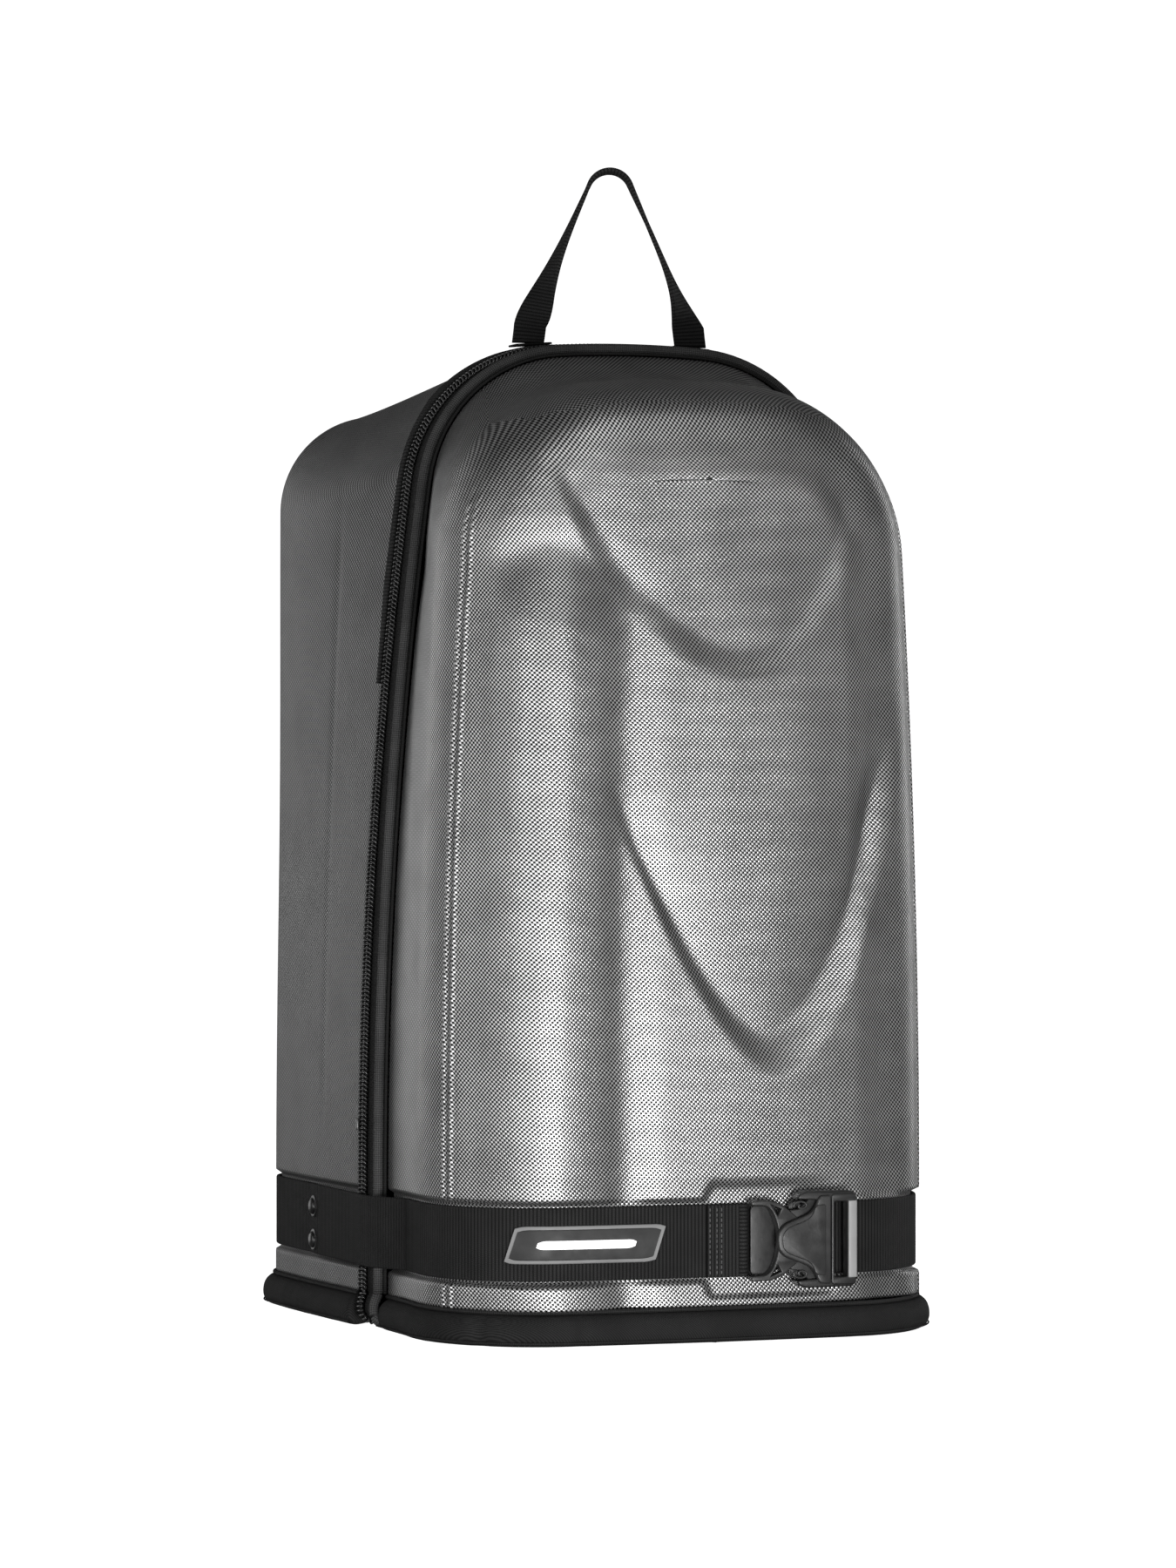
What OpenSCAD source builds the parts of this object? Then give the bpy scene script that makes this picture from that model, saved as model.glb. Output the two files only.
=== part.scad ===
// Hard-shell zipped case with a cinch strap, a moulded front shell that tips forward and a webbing handle.
// Origin: bottom centre. +Z up, the sculpted front shell faces -Y, the zip lies in a plane across X and Z.

/* [Case] */
// Half width of the case at the zip, down the straight lower legs
leg_x = 95.5; // [90:0.5:100]
// Height where the zip's legs start to lean inwards
lean_z = 50; // [50:1:60]
// Height of the lower edge of both shells
rim_z = 12.5; // [12:0.5:14]
// Where the zip plane lies between front and back
zip_y = -10.7; // [-12:0.1:-9]
// Depth of the front shell in front of the zip plane
front_depth = 88; // [80:1:95]
// Depth of the back shell behind the zip plane
back_depth = 115; // [100:1:120]
// How far the middle of the front face stands out beyond its corners
front_crown = 6; // [2:0.5:8]
// Thickness of the moulded shells
shell_wall = 2.5; // [2:0.1:3]
// Thickness of the fabric linings
lining_wall = 1.2; // [0.8:0.1:1.5]

/* [Zip] */
// Width of one side of the coil
coil_w = 2; // [1.8:0.1:2.2]
// Gap kept between the two halves of the coil
coil_gap = 1.8; // [1.6:0.1:2]
// Height at which the slider rests when the case is closed
slider_z = 80; // [78:1:100]

/* [Strap and buckle] */
// Width of the webbing
web_w = 25; // [25:1:26]
// Thickness of the webbing
web_t = 1.6; // [1.4:0.1:1.6]
// Height of the middle of the strap
strap_z = 34.5; // [34:0.5:35]
// Depth of the moulded groove that holds the strap
groove = 2.2; // [2:0.1:2.4]
// Distance of the rivets behind the zip plane
rivet_back = 46; // [44:1:60]
// Centre of the buckle across the front
buckle_x = 31; // [28:1:34]

/* [Base] */
// How far the padded base band stands out from the shells
band_out = 5; // [3:0.5:6]
// Height of the padded base band
band_h = 11; // [10:0.5:11.5]

/* [Handle] */
// Height of the top of the handle loop
handle_top = 410; // [395:1:420]
// Half the distance between the handle's sewn feet
handle_foot_x = 30; // [28:1:34]
// Width of the handle webbing
handle_w = 14; // [12:1:20]

/* [Hidden] */
fit = 0.4;

// An arch outline is [leg half width, radius of the leaning leg, height where the corner starts, corner radius,
// crown radius]: a vertical leg, a leaning leg, a corner and a crown, all tangent arcs.
zip_arch = [leg_x, 1858, 297, 56, 400];
front_arch = [leg_x - 1.5, 3600, 273, 64, 300];
back_arch = [leg_x + 4, 20000, 290, 36, 900];

function lean_angle(a) = asin((a[2] - lean_z) / a[1]);
function corner_c(a) = let (t = lean_angle(a)) [a[0] - a[1] * (1 - cos(t)) - a[3] * cos(t), a[2] - a[3] * sin(t)];
function crown_drop(a) = sqrt(pow(a[4] - a[3], 2) - pow(corner_c(a)[0], 2));
function crown_angle(a) = atan2(crown_drop(a), corner_c(a)[0]);
function on_circle(c, r, t) = [c[0] + r * cos(t), c[1] + r * sin(t)];

// Point of an arch: s runs 0 to 1 up the vertical leg, to 2 up the leaning leg, to 3 round the corner, to 4 at the top.
function arch_pt(a, s, inset) =
    s <= 1 ? [a[0] - inset, rim_z + (lean_z - rim_z) * s] :
    s <= 2 ? on_circle([a[0] - a[1], lean_z], a[1] - inset, lean_angle(a) * (s - 1)) :
    s <= 3 ? on_circle(corner_c(a), a[3] - inset, lean_angle(a) + (crown_angle(a) - lean_angle(a)) * (s - 2)) :
    on_circle([0, corner_c(a)[1] - crown_drop(a)], a[4] - inset, crown_angle(a) + (90 - crown_angle(a)) * (s - 3));

// Rows of a shell: [s, share of the strap groove's depth at that height].
groove_lo = strap_z - web_w / 2 - 0.6;
groove_hi = strap_z + web_w / 2 + 0.6;
function row_s(z) = (z - rim_z) / (lean_z - rim_z);
rows = concat(
    [[0, 0], [row_s(groove_lo - 1), 0], [row_s(groove_lo), 1], [row_s(groove_hi), 1], [row_s(groove_hi + 1), 0]],
    [for (i = [1:8]) [1 + i / 8, 0]],
    [for (i = [1:7]) [2 + i / 7, 0]],
    [for (i = [1:3]) [3 + i * 0.2, 0]]);

// Columns of a shell, from the zip edge forwards or backwards: [distance from the zip, inset, blend to the far arch].
function shell_cols(start, inset, side_end, side_inset, depth, far_inset) = concat(
    [for (t = [0, 0.4, 1]) [start + (side_end - start) * t, inset + (side_inset - inset) * t, sin(90 * t)]],
    [for (i = [1:5]) [side_end + (depth - side_end) * sin(18 * i),
                      side_inset + (far_inset - side_inset) * (1 - cos(18 * i)), 1]]);
front_cols = shell_cols(15, 4.5, 48, 3, front_depth, 40);
back_cols = shell_cols(4, 0, 88, 0, back_depth, 25);
across = [for (i = [-4:4]) i / 5];

// One row of a shell pushed in by `skin`, from the left zip edge over the far face to the right zip edge.
function crown_at(x, crown, share) = crown * share * (1 - pow(x / leg_x, 2));
function side_pt(r, c, far_arch, dir, crown, depth, start, skin) =
    let (push = skin + groove * r[1], share = (c[0] - start) / (depth - start),
         near = arch_pt(zip_arch, r[0], c[1] + push), far = arch_pt(far_arch, r[0], c[1] + push),
         x = near[0] * (1 - c[2]) + far[0] * c[2], z = near[1] * (1 - c[2]) + far[1] * c[2])
    [x, zip_y + dir * (c[0] - push * share + crown_at(x, crown, share)), z];
function shell_row(r, cols, far_arch, dir, crown, skin) =
    let (n = len(cols), depth = cols[n - 1][0], start = cols[0][0],
         side = [for (c = cols) side_pt(r, c, far_arch, dir, crown, depth, start, skin)], e = side[n - 1])
    concat([for (p = side) [-p[0], p[1], p[2]]],
           [for (t = across) [e[0] * t, e[1] + dir * (crown_at(e[0] * t, crown, 1) - crown_at(e[0], crown, 1)), e[2]]],
           [for (i = [n - 1:-1:0]) side[i]]);

// A sheet of even thickness between two grids of points, closed along the zip edges, the lower rim and the top fold.
module sheet(outer, inner, dir) {
    n = len(outer);
    m = len(outer[0]);
    half = floor(m / 2);
    k = n * m;
    grid = [for (i = [0:n - 2], j = [0:m - 2]) each let (a = i * m + j) [[a, a + 1, a + m + 1], [a, a + m + 1, a + m]]];
    top = [for (j = [0:half - 1]) each let (a = (n - 1) * m + j, b = n * m - 1 - j)
        j == half - 1 ? [[a, a + 1, b]] : [[a, a + 1, b - 1], [a, b - 1, b]]];
    skin = concat(grid, top);
    back = [for (f = skin) [for (i = [len(f) - 1:-1:0]) f[i] + k]];
    edge = concat([for (i = [n - 1:-1:1]) [i * m, (i - 1) * m]], [for (j = [0:m - 2]) [j, j + 1]],
                  [for (i = [0:n - 2]) [i * m + m - 1, (i + 1) * m + m - 1]], [[n * m - 1, (n - 1) * m]]);
    rim = [for (e = edge) [e[1], e[0], e[0] + k, e[1] + k]];
    faces = concat(skin, back, rim);
    points = concat([for (r = outer) each r], [for (r = inner) each r]);
    polyhedron(points, dir < 0 ? [for (f = faces) [for (i = [len(f) - 1:-1:0]) f[i]]] : faces);
}

module shell_sheet(cols, far_arch, dir, crown, skin, wall) {
    outer = [for (r = rows) shell_row(r, cols, far_arch, dir, crown, skin)];
    inner = [for (r = rows) shell_row(r, cols, far_arch, dir, crown, skin + wall)];
    sheet(outer, inner, dir);
}

module back_shell() { color("#4a4b4e") shell_sheet(back_cols, back_arch, 1, 3, 0, shell_wall); }
module front_shell() { color("#5c5d60") shell_sheet(front_cols, front_arch, -1, front_crown, 0, shell_wall); }
module back_lining() {
    color("#202022") shell_sheet(back_cols, back_arch, 1, 3, shell_wall + 0.3, lining_wall);
}
module front_lining() {
    color("#202022") shell_sheet(front_cols, front_arch, -1, front_crown, shell_wall + 0.3, lining_wall);
}

// A band that follows the zip arch from one leg over the top to the other, between two insets and two depths.
band_s = concat([0, 1], [for (i = [1:8]) 1 + i / 8], [for (i = [1:9]) 2 + i / 9], [3.5, 4]);
function arch_line(s_list, inset) = concat(
    [for (s = s_list) arch_pt(zip_arch, s, inset)],
    [for (i = [len(s_list) - 2:-1:0]) let (p = arch_pt(zip_arch, s_list[i], inset)) [-p[0], p[1]]]);
function reversed(v) = [for (i = [len(v) - 1:-1:0]) v[i]];
module arch_band(outer, inner, from, to, s_list = band_s) {
    translate([0, zip_y + to, 0]) rotate([90, 0, 0]) linear_extrude(to - from)
        polygon(concat(arch_line(s_list, outer), reversed(arch_line(s_list, inner))));
}
coil_in = coil_gap / 2;
coil_out = coil_in + coil_w;
module zip_coil_back() { color("#101010") arch_band(-0.9, 1, coil_in, coil_out); }
module zip_coil_front() { color("#101010") arch_band(-0.9, 1, -coil_out, -coil_in); }
module zip_tape_back() { color("#18181a") arch_band(0.8, 1.6, coil_out, 3.9); }
module zip_tape_front() { color("#18181a") arch_band(0.8, 1.6, -10.8, -coil_out); }
module edge_piping() { color("#3a3a3c") arch_band(0, 3.4, -14.3, -10.9); }

// The zip's ends pass over the base between the two padded bands and are tucked under.
module zip_tails() {
    color("#141414") for (side = [-1, 1]) translate([side * (leg_x - 1.5), zip_y - 5.5, 0])
        linear_extrude(rim_z - 0.6) square([5, 18], center = true);
}

// Crimped stops at the foot of the back tape, which the slider comes down to.
module zip_end_stops() {
    color("#8a8a8c") for (side = [-1, 1]) translate([side * (leg_x + 1.4), zip_y + coil_in + 1, slider_z - 9])
        cube([0.9, 1.8, 4], center = true);
}

// The slider rides on the right leg. It is open towards the front, so the front half of the coil can leave it.
function leg_at(z) = zip_arch[0] - zip_arch[1] * (1 - cos(asin((z - lean_z) / zip_arch[1])));
slider_x = leg_at(slider_z);
pin_x = slider_x + 4.9;
pin_r = 0.7;
module zip_slider() {
    color("#2b2b2d") {
        translate([slider_x + 1.4, zip_y - 4.2, slider_z - 5.5]) cube([1.3, 8.4, 11]);
        translate([slider_x - 3.3, zip_y - 3.3, slider_z - 5.5]) cube([1.2, 6.6, 11]);
        translate([slider_x - 2.2, zip_y - 0.5, slider_z - 1]) cube([3.7, 1, 6]);
        for (side = [-1, 1]) translate([slider_x + 2.6, zip_y + side * 3.2 - 0.6, slider_z - 2])
            cube([3.6, 1.2, 4]);
        translate([pin_x, zip_y + 3, slider_z]) rotate([90, 0, 0]) cylinder(r = pin_r, h = 6, $fn = 24);
    }
}
module zip_pull() {
    color("#1c1c1e") translate([pin_x, zip_y, slider_z]) {
        difference() {
            union() {
                rotate([90, 0, 0]) cylinder(r = 1.6, h = 4.6, center = true, $fn = 32);
                translate([-0.6, -2.3, -22]) cube([1.2, 4.6, 21.4]);
            }
            rotate([90, 0, 0]) cylinder(r = pin_r + 0.06, h = 6, center = true, $fn = 24);
            translate([0, 0, -17]) rotate([0, 90, 0]) cylinder(r = 1.1, h = 4, center = true, $fn = 24);
        }
    }
}

// Webbing-covered band over the top seam, with the handle's feet sewn on it.
top_s = [2.55, 2.7, 2.85, 3, 3.5, 4];
module top_band() { color("#151516") arch_band(-1.3, -0.2, 4.2, 13, top_s); }
module handle_tabs() {
    r = zip_arch[4];
    color("#121213") for (side = [-1, 1]) translate([0, zip_y + 8.6, arch_pt(zip_arch, 4, 0)[1] - r])
        rotate([0, side * asin(handle_foot_x / r), 0]) translate([-7, -4, r + 1.4]) cube([14, 8, 0.8]);
}

// The handle: a ribbon that starts flat to the front at its feet and turns edge-on at the top.
handle_foot_z = arch_pt(zip_arch, 4, 0)[1] + 1.6;
handle_start = handle_foot_z + 1.1;
bend_r = 7;
bend_z = handle_top - bend_r;
handle_y = zip_y + 8.6;
leg_turn = atan2(handle_foot_x - bend_r, bend_z - handle_start);
function leg_mix(a, b, t) = a + (b - a) * t;
// Each point of the path: [x, z, twist, lean of the ribbon's width].
handle_path = concat(
    [[handle_foot_x, handle_start, 0, 0]],
    [for (i = [1:7]) let (t = i / 8) [leg_mix(handle_foot_x, bend_r * cos(leg_turn), t),
        leg_mix(handle_start, bend_z + bend_r * sin(leg_turn), t), t * 90, leg_turn]],
    [for (i = [0:2]) let (a = leg_mix(leg_turn, 90, i / 3)) [bend_r * cos(a), bend_z + bend_r * sin(a), 90, a]]);
function ribbon_ring(p, side) =
    let (n = [cos(p[3]), 0, sin(p[3])], w = handle_w / 2 * (cos(p[2]) * n + sin(p[2]) * [0, 1, 0]),
         h = web_t / 2 * (-sin(p[2]) * n + cos(p[2]) * [0, 1, 0]))
    [for (q = [w + h, -w + h, -w - h, w - h]) [side * (p[0] + q[0]), handle_y + q[1], p[1] + q[2]]];
handle_rings = concat(
    [for (p = handle_path) ribbon_ring(p, 1)],
    [ribbon_ring([0, handle_top, 90, 90], 1)],
    [for (i = [len(handle_path) - 1:-1:0]) ribbon_ring(handle_path[i], -1)]);
module tube_of(rings) {
    n = len(rings);
    m = len(rings[0]);
    sides = [for (i = [0:n - 2], j = [0:m - 1]) each
        let (a = i * m + j, b = i * m + (j + 1) % m) [[a, a + m, b + m], [a, b + m, b]]];
    polyhedron([for (r = rings) each r],
               concat(sides, [[for (j = [0:m - 1]) j]], [[for (j = [m - 1:-1:0]) (n - 1) * m + j]]));
}
module handle_loop() { color("#121213") tube_of(handle_rings); }

// Plan outlines at the base: the shells' lower rims moved outwards by `out`.
function plan_row(cols, far_arch, dir, crown, out) =
    [for (p = shell_row([0, 0], cols, far_arch, dir, crown, -out)) [p[0], p[1]]];
function front_plan(out) = plan_row(front_cols, front_arch, -1, front_crown, out);
function back_plan(out) = plan_row(back_cols, back_arch, 1, 3, out);
module band_ring(plan, hole, z, h) {
    translate([0, 0, z]) linear_extrude(h) polygon(concat(plan, reversed(hole)));
}
module base_band_back() {
    color("#19191b") band_ring(back_plan(band_out), back_plan(-5), 0, band_h);
}
module base_band_front() {
    color("#19191b") band_ring(front_plan(band_out), front_plan(-5), 0, band_h);
}
module base_piping() {
    color("#0c0c0c") {
        band_ring(back_plan(0.8), back_plan(-1.5), band_h + 0.05, 1.2);
        band_ring(front_plan(0.8), front_plan(-1.5), band_h + 0.05, 1.2);
    }
}
module base_plate(inset, z, h) {
    translate([0, 0, z]) linear_extrude(h) polygon(concat(front_plan(-inset), reversed(back_plan(-inset))));
}
module base_panel() { color("#19191b") base_plate(5.2, 0.6, 1.4); }
module base_board() { color("#303030") base_plate(5.2, 2.1, 2.4); }
module base_lining() { color("#202022") base_plate(5.2, 4.6, 0.9); }

// Fabric hinge inside the front edge, from the base board up to the front shell's rim.
front_y = zip_y - front_depth - front_crown;
module hinge_strip() {
    color("#19191b") translate([-45, front_y + 7.1, 5.6]) cube([90, 0.9, 6.6]);
}

// The strap lies in its groove. Each path is a list of points on the strap's middle line, seen from above.
pivot_x = leg_x + 2.9;
pivot_y = zip_y + rivet_back - 8;
strap_skin = web_t / 2 - groove + fit;
function groove_line(cols, far_arch, dir, crown, out) =
    [for (p = shell_row([row_s(strap_z), 0], cols, far_arch, dir, crown, -out)) [p[0], p[1]]];
front_line = groove_line(front_cols, front_arch, -1, front_crown, strap_skin);
back_line = groove_line(back_cols, back_arch, 1, 3, strap_skin);
side_line = [[-pivot_x, pivot_y - 0.6], [-leg_x - 2.3, zip_y + 5], [-leg_x - 2.2, zip_y - 14]];
left_line = concat(side_line, [for (i = [2:len(front_line) - 1]) if (front_line[i][0] < 0.5) front_line[i]],
                   [[buckle_x - 15, front_line_y(buckle_x - 15)]]);
right_line = concat([for (p = side_line) [-p[0], p[1]]],
                    [for (i = [2:7]) let (p = front_line[i]) [-p[0], p[1]]], [[buckle_x + 15, front_line_y(buckle_x + 15)]]);
function front_line_y(x) = front_y + (front_crown * pow(x / leg_x, 2)) - strap_skin;
function unit(v) = v / norm(v);
function normal_at(line, i) =
    let (a = line[max(i - 1, 0)], b = line[min(i + 1, len(line) - 1)], t = unit(b - a)) [-t[1], t[0]];
function offset_line(line, d) = [for (i = [0:len(line) - 1]) line[i] + d * normal_at(line, i)];
module webbing(line) {
    translate([0, 0, strap_z - web_w / 2]) linear_extrude(web_w)
        polygon(concat(offset_line(line, web_t / 2), reversed(offset_line(line, -web_t / 2))));
}
rear_cut_y = pivot_y + 2.6;
rear_line = concat([[-pivot_x, rear_cut_y]], [for (p = back_line) if (p[1] > rear_cut_y + 4) p],
                   [[pivot_x, rear_cut_y]]);
module strap_rear() {
    color("#101011") difference() {
        webbing(rear_line);
        at_rivets() translate([0, 0, -6]) cylinder(r = rivet_hole, h = 12, $fn = 24);
    }
}
module strap_left() { color("#101011") webbing(left_line); }
module strap_right() { color("#101011") webbing(right_line); }
module strap_badge() {
    near = offset_line(left_line, -web_t / 2 - 0.1);
    far = offset_line(left_line, -web_t / 2 - 1.5);
    color("#9a9a9c") intersection() {
        translate([0, 0, strap_z - 7]) linear_extrude(14) polygon(concat(near, reversed(far)));
        translate([-45, 0, strap_z]) rotate([90, 0, 0])
            linear_extrude(150) polygon([[-28, -6.5], [24, -6.5], [28, 6.5], [-24, 6.5]]);
    }
}

// Two rivets on each side hold the strap to the back shell.
rivet_hole = 1.6;
rivet_zs = [strap_z - 7.5, strap_z + 4.5];
module at_rivets() {
    for (side = [-1, 1], z = rivet_zs)
        translate([side * pivot_x, zip_y + rivet_back, z]) rotate([0, side * 90, 0]) children();
}
module strap_rivets() {
    color("#232324") at_rivets() {
        translate([0, 0, web_t / 2 + 0.1]) cylinder(r1 = 3.4, r2 = 2.4, h = 1.2, $fn = 32);
        translate([0, 0, -1.2]) cylinder(r = 1.5, h = 2.4, $fn = 24);
    }
}
module rivet_washers() {
    color("#77777a") for (side = [-1, 1], z = rivet_zs)
        translate([side * (leg_x - 4.6), zip_y + rivet_back, z]) rotate([0, side * 90, 0])
            cylinder(r = 4, h = 0.8, center = true, $fn = 32);
}

// Side-release buckle. Its shapes are drawn as seen from the front, x along the strap and y up, then stood up.
buckle_y = front_line_y(buckle_x) - 4.6;
module standing(from, depth) {
    translate([buckle_x, buckle_y + from + depth, strap_z]) rotate([90, 0, 0]) linear_extrude(depth) children();
}
module mirrored_pair() {
    children();
    mirror([0, 1]) children();
}
module cover_shape() {
    polygon([[-10, 0], [-8, 5], [-4, 7.4], [1, 9.6], [4, 11.4], [5, 14.6], [13, 14.6],
             [13, -14.6], [5, -14.6], [4, -11.4], [1, -9.6], [-4, -7.4], [-8, -5]]);
}
module buckle_female() {
    color("#3c3d3f") difference() {
        union() {
            standing(-4.6, 2) cover_shape();
            standing(1.9, 1.9) translate([-4, -13]) square([17, 26]);
            standing(-4.4, 8) translate([7.4, -15.6]) square([11.6, 31.2]);
            standing(-3.4, 6) mirrored_pair() translate([-3, 14.4]) square([11, 2]);
        }
        standing(-2.5, 4.3) translate([-12, -12.4]) square([19.6, 24.8]);
        standing(-8, 16) translate([13.4, -13]) square([3.2, 26]);
    }
}
male_in = -2.1;
male_t = 3.5;
module buckle_male() {
    color("#353638") {
        standing(male_in, male_t) difference() {
            polygon([[-19, -13.4], [-9.4, -12.6], [-5.6, -4], [-5.6, 4], [-9.4, 12.6], [-19, 13.4]]);
            translate([-16.6, -12.6]) square([3, 25.2]);
        }
        standing(male_in, male_t) translate([-6, -2]) square([12.6, 4]);
    }
}
// Each prong bends inwards about its root and catches behind the female part's shoulder.
module prong_shape() {
    polygon([[-4.6, 6.9], [6.8, 6.9], [6.8, 12], [5.4, 14], [2, 14], [-1.6, 10.4], [-4.6, 10.2]]);
}
module buckle_prong_upper() { color("#353638") standing(male_in + 0.2, male_t - 0.4) prong_shape(); }
module buckle_prong_lower() { color("#353638") standing(male_in + 0.2, male_t - 0.4) mirror([0, 1]) prong_shape(); }

back_shell();
back_lining();
front_shell();
front_lining();
zip_tape_back();
zip_coil_back();
zip_tape_front();
zip_coil_front();
zip_tails();
zip_end_stops();
zip_slider();
zip_pull();
edge_piping();
top_band();
handle_tabs();
handle_loop();
base_band_back();
base_band_front();
base_piping();
base_panel();
base_board();
base_lining();
hinge_strip();
strap_rear();
strap_left();
strap_right();
strap_badge();
strap_rivets();
rivet_washers();
buckle_male();
buckle_prong_upper();
buckle_prong_lower();
buckle_female();
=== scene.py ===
import math
from collections import namedtuple

import bpy
import bmesh
import numpy as np
from mathutils import Matrix, Vector, noise


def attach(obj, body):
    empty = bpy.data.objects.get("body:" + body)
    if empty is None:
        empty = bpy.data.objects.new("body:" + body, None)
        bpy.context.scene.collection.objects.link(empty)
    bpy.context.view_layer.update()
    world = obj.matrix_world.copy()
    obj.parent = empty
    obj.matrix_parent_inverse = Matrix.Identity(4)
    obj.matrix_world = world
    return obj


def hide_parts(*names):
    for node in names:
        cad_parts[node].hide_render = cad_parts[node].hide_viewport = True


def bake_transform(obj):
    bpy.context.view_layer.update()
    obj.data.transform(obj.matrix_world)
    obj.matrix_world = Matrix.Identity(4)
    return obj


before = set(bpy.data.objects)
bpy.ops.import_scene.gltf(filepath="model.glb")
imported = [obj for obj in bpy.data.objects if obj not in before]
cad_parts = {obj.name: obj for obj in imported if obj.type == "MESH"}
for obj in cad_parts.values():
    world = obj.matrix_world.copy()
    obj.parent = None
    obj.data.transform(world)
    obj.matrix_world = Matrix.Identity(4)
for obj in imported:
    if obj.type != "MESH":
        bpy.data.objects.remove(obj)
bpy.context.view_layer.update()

# ---- driving values in millimetres, as in the CAD model
MM = 0.001
LEG_X = 95.5
LEAN_Z = 50.0
RIM_Z = 12.5
ZIP_Y = -10.7
GROOVE = 2.2
SHELL_WALL = 2.5
WEB_W = 25.0
WEB_T = 1.6
STRAP_Z = 34.5
FRONT_CROWN = 6.0
FRONT_Y = ZIP_Y - 88.0 - FRONT_CROWN
BUCKLE_X = 31.0
HANDLE_TOP = 410.0
HANDLE_FOOT_X = 30.0
HANDLE_Y = ZIP_Y + 8.6
PIVOT_X = LEG_X + 2.9
PIVOT_Y = ZIP_Y + 38.0
RIVET_Y = ZIP_Y + 46.0

Arch = namedtuple("Arch", "leg lean_r corner_z corner_r crown_r")
ZIP_ARCH = Arch(LEG_X, 1858.0, 297.0, 56.0, 400.0)
FRONT_ARCH = Arch(LEG_X - 1.5, 3600.0, 273.0, 64.0, 300.0)
BACK_ARCH = Arch(LEG_X + 4.0, 20000.0, 290.0, 36.0, 900.0)

# A shell half: far arch, direction from the zip, distances from it and insets of flank and fillet, crown.
Side = namedtuple("Side", "arch way start start_inset flank flank_inset depth far_inset crown")
FRONT = Side(FRONT_ARCH, -1, 15.0, 4.5, 48.0, 3.0, 88.0, 40.0, FRONT_CROWN)
BACK = Side(BACK_ARCH, 1, 4.0, 0.0, 88.0, 0.0, 115.0, 25.0, 3.0)


# ---- small helpers
def smooth(low, high, value):
    """0 below low, 1 above high, smooth between; low may be above high."""
    t = np.clip((value - low) / (high - low), 0.0, 1.0)
    return t * t * (3 - 2 * t)


def bell(value, centre, width):
    return np.exp(-(((value - centre) / width) ** 2))


def new_object(name, points, faces, uvs=None, sharp=None):
    """A smooth-shaded mesh from points in millimetres; uvs are one (u, v) for each corner, in metres."""
    mesh = bpy.data.meshes.new(name)
    mesh.from_pydata([Vector(p) * MM for p in points], [], faces)
    if uvs is not None:
        layer = mesh.uv_layers.new(name="UVMap")
        layer.data.foreach_set("uv", np.asarray(uvs, np.float32).ravel() * MM)
    mesh.update()
    mesh.shade_smooth()
    if sharp:
        mesh.set_sharp_from_angle(angle=math.radians(sharp))
    obj = bpy.data.objects.new(name, mesh)
    bpy.context.scene.collection.objects.link(obj)
    return obj


def place(obj, material, body, slot, *nodes):
    """Gives a piece its material and its body and hides the CAD nodes that it stands for; slot is not used.
    """
    obj.data.materials.clear()
    obj.data.materials.append(material)
    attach(obj, body)
    if nodes:
        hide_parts(*nodes)
    return obj


def applied(obj):
    """Applies every modifier of obj to its mesh."""
    evaluated = obj.evaluated_get(bpy.context.evaluated_depsgraph_get())
    mesh = bpy.data.meshes.new_from_object(evaluated)
    obj.modifiers.clear()
    obj.data = mesh
    return obj


def tube_faces(rings, size, start=0):
    """Quads between rings of points that follow one another, with both ends closed."""
    faces = []
    for i in range(rings - 1):
        for j in range(size):
            a, b = start + i * size + j, start + i * size + (j + 1) % size
            faces.append((a, a + size, b + size, b))
    last = start + (rings - 1) * size
    return faces + [tuple(range(start, start + size)), tuple(reversed(range(last, last + size)))]


def running_lengths(points):
    lengths = [0.0]
    for before, after in zip(points[:-1], points[1:]):
        lengths.append(lengths[-1] + (after - before).length)
    return lengths


def sweep(name, frames, profile):
    """A solid along frames of (origin, a, b). profile is a closed list of (a, b) offsets, or a function that
    returns one for the share of the way along."""
    count = len(frames)
    rings = []
    for i, (origin, a, b) in enumerate(frames):
        outline = profile(i / (count - 1)) if callable(profile) else profile
        rings.append([origin + a * p + b * q for p, q in outline])
    size = len(rings[0])
    along = running_lengths([f[0] for f in frames])
    around = running_lengths(rings[0] + rings[0][:1])
    uvs = []
    for i in range(count - 1):
        for j in range(size):
            uvs += [(along[i], around[j]), (along[i + 1], around[j]),
                    (along[i + 1], around[j + 1]), (along[i], around[j + 1])]
    uvs += [(0.0, around[j]) for j in range(size)]
    uvs += [(along[-1], around[j]) for j in reversed(range(size))]
    return new_object(name, [p for ring in rings for p in ring], tube_faces(count, size), uvs)


def swept(name, frames, profile, *placing):
    """A swept solid, placed with the rest of place()'s arguments."""
    return place(sweep(name, frames, profile), *placing)


def rounded(half_a, half_b, radius, steps=3, middle=(0.0, 0.0)):
    """Outline of a rounded rectangle."""
    corners = [(1, 1, 0), (-1, 1, 90), (-1, -1, 180), (1, -1, 270)]
    points = []
    for sa, sb, start in corners:
        for k in range(steps + 1):
            t = math.radians(start + 90 * k / steps)
            points.append((middle[0] + sa * (half_a - radius) + radius * math.cos(t),
                           middle[1] + sb * (half_b - radius) + radius * math.sin(t)))
    return points


def circle(radius, steps):
    turns = [2 * math.pi / steps * k for k in range(steps)]
    return [(radius * math.cos(t), radius * math.sin(t)) for t in turns]


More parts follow.
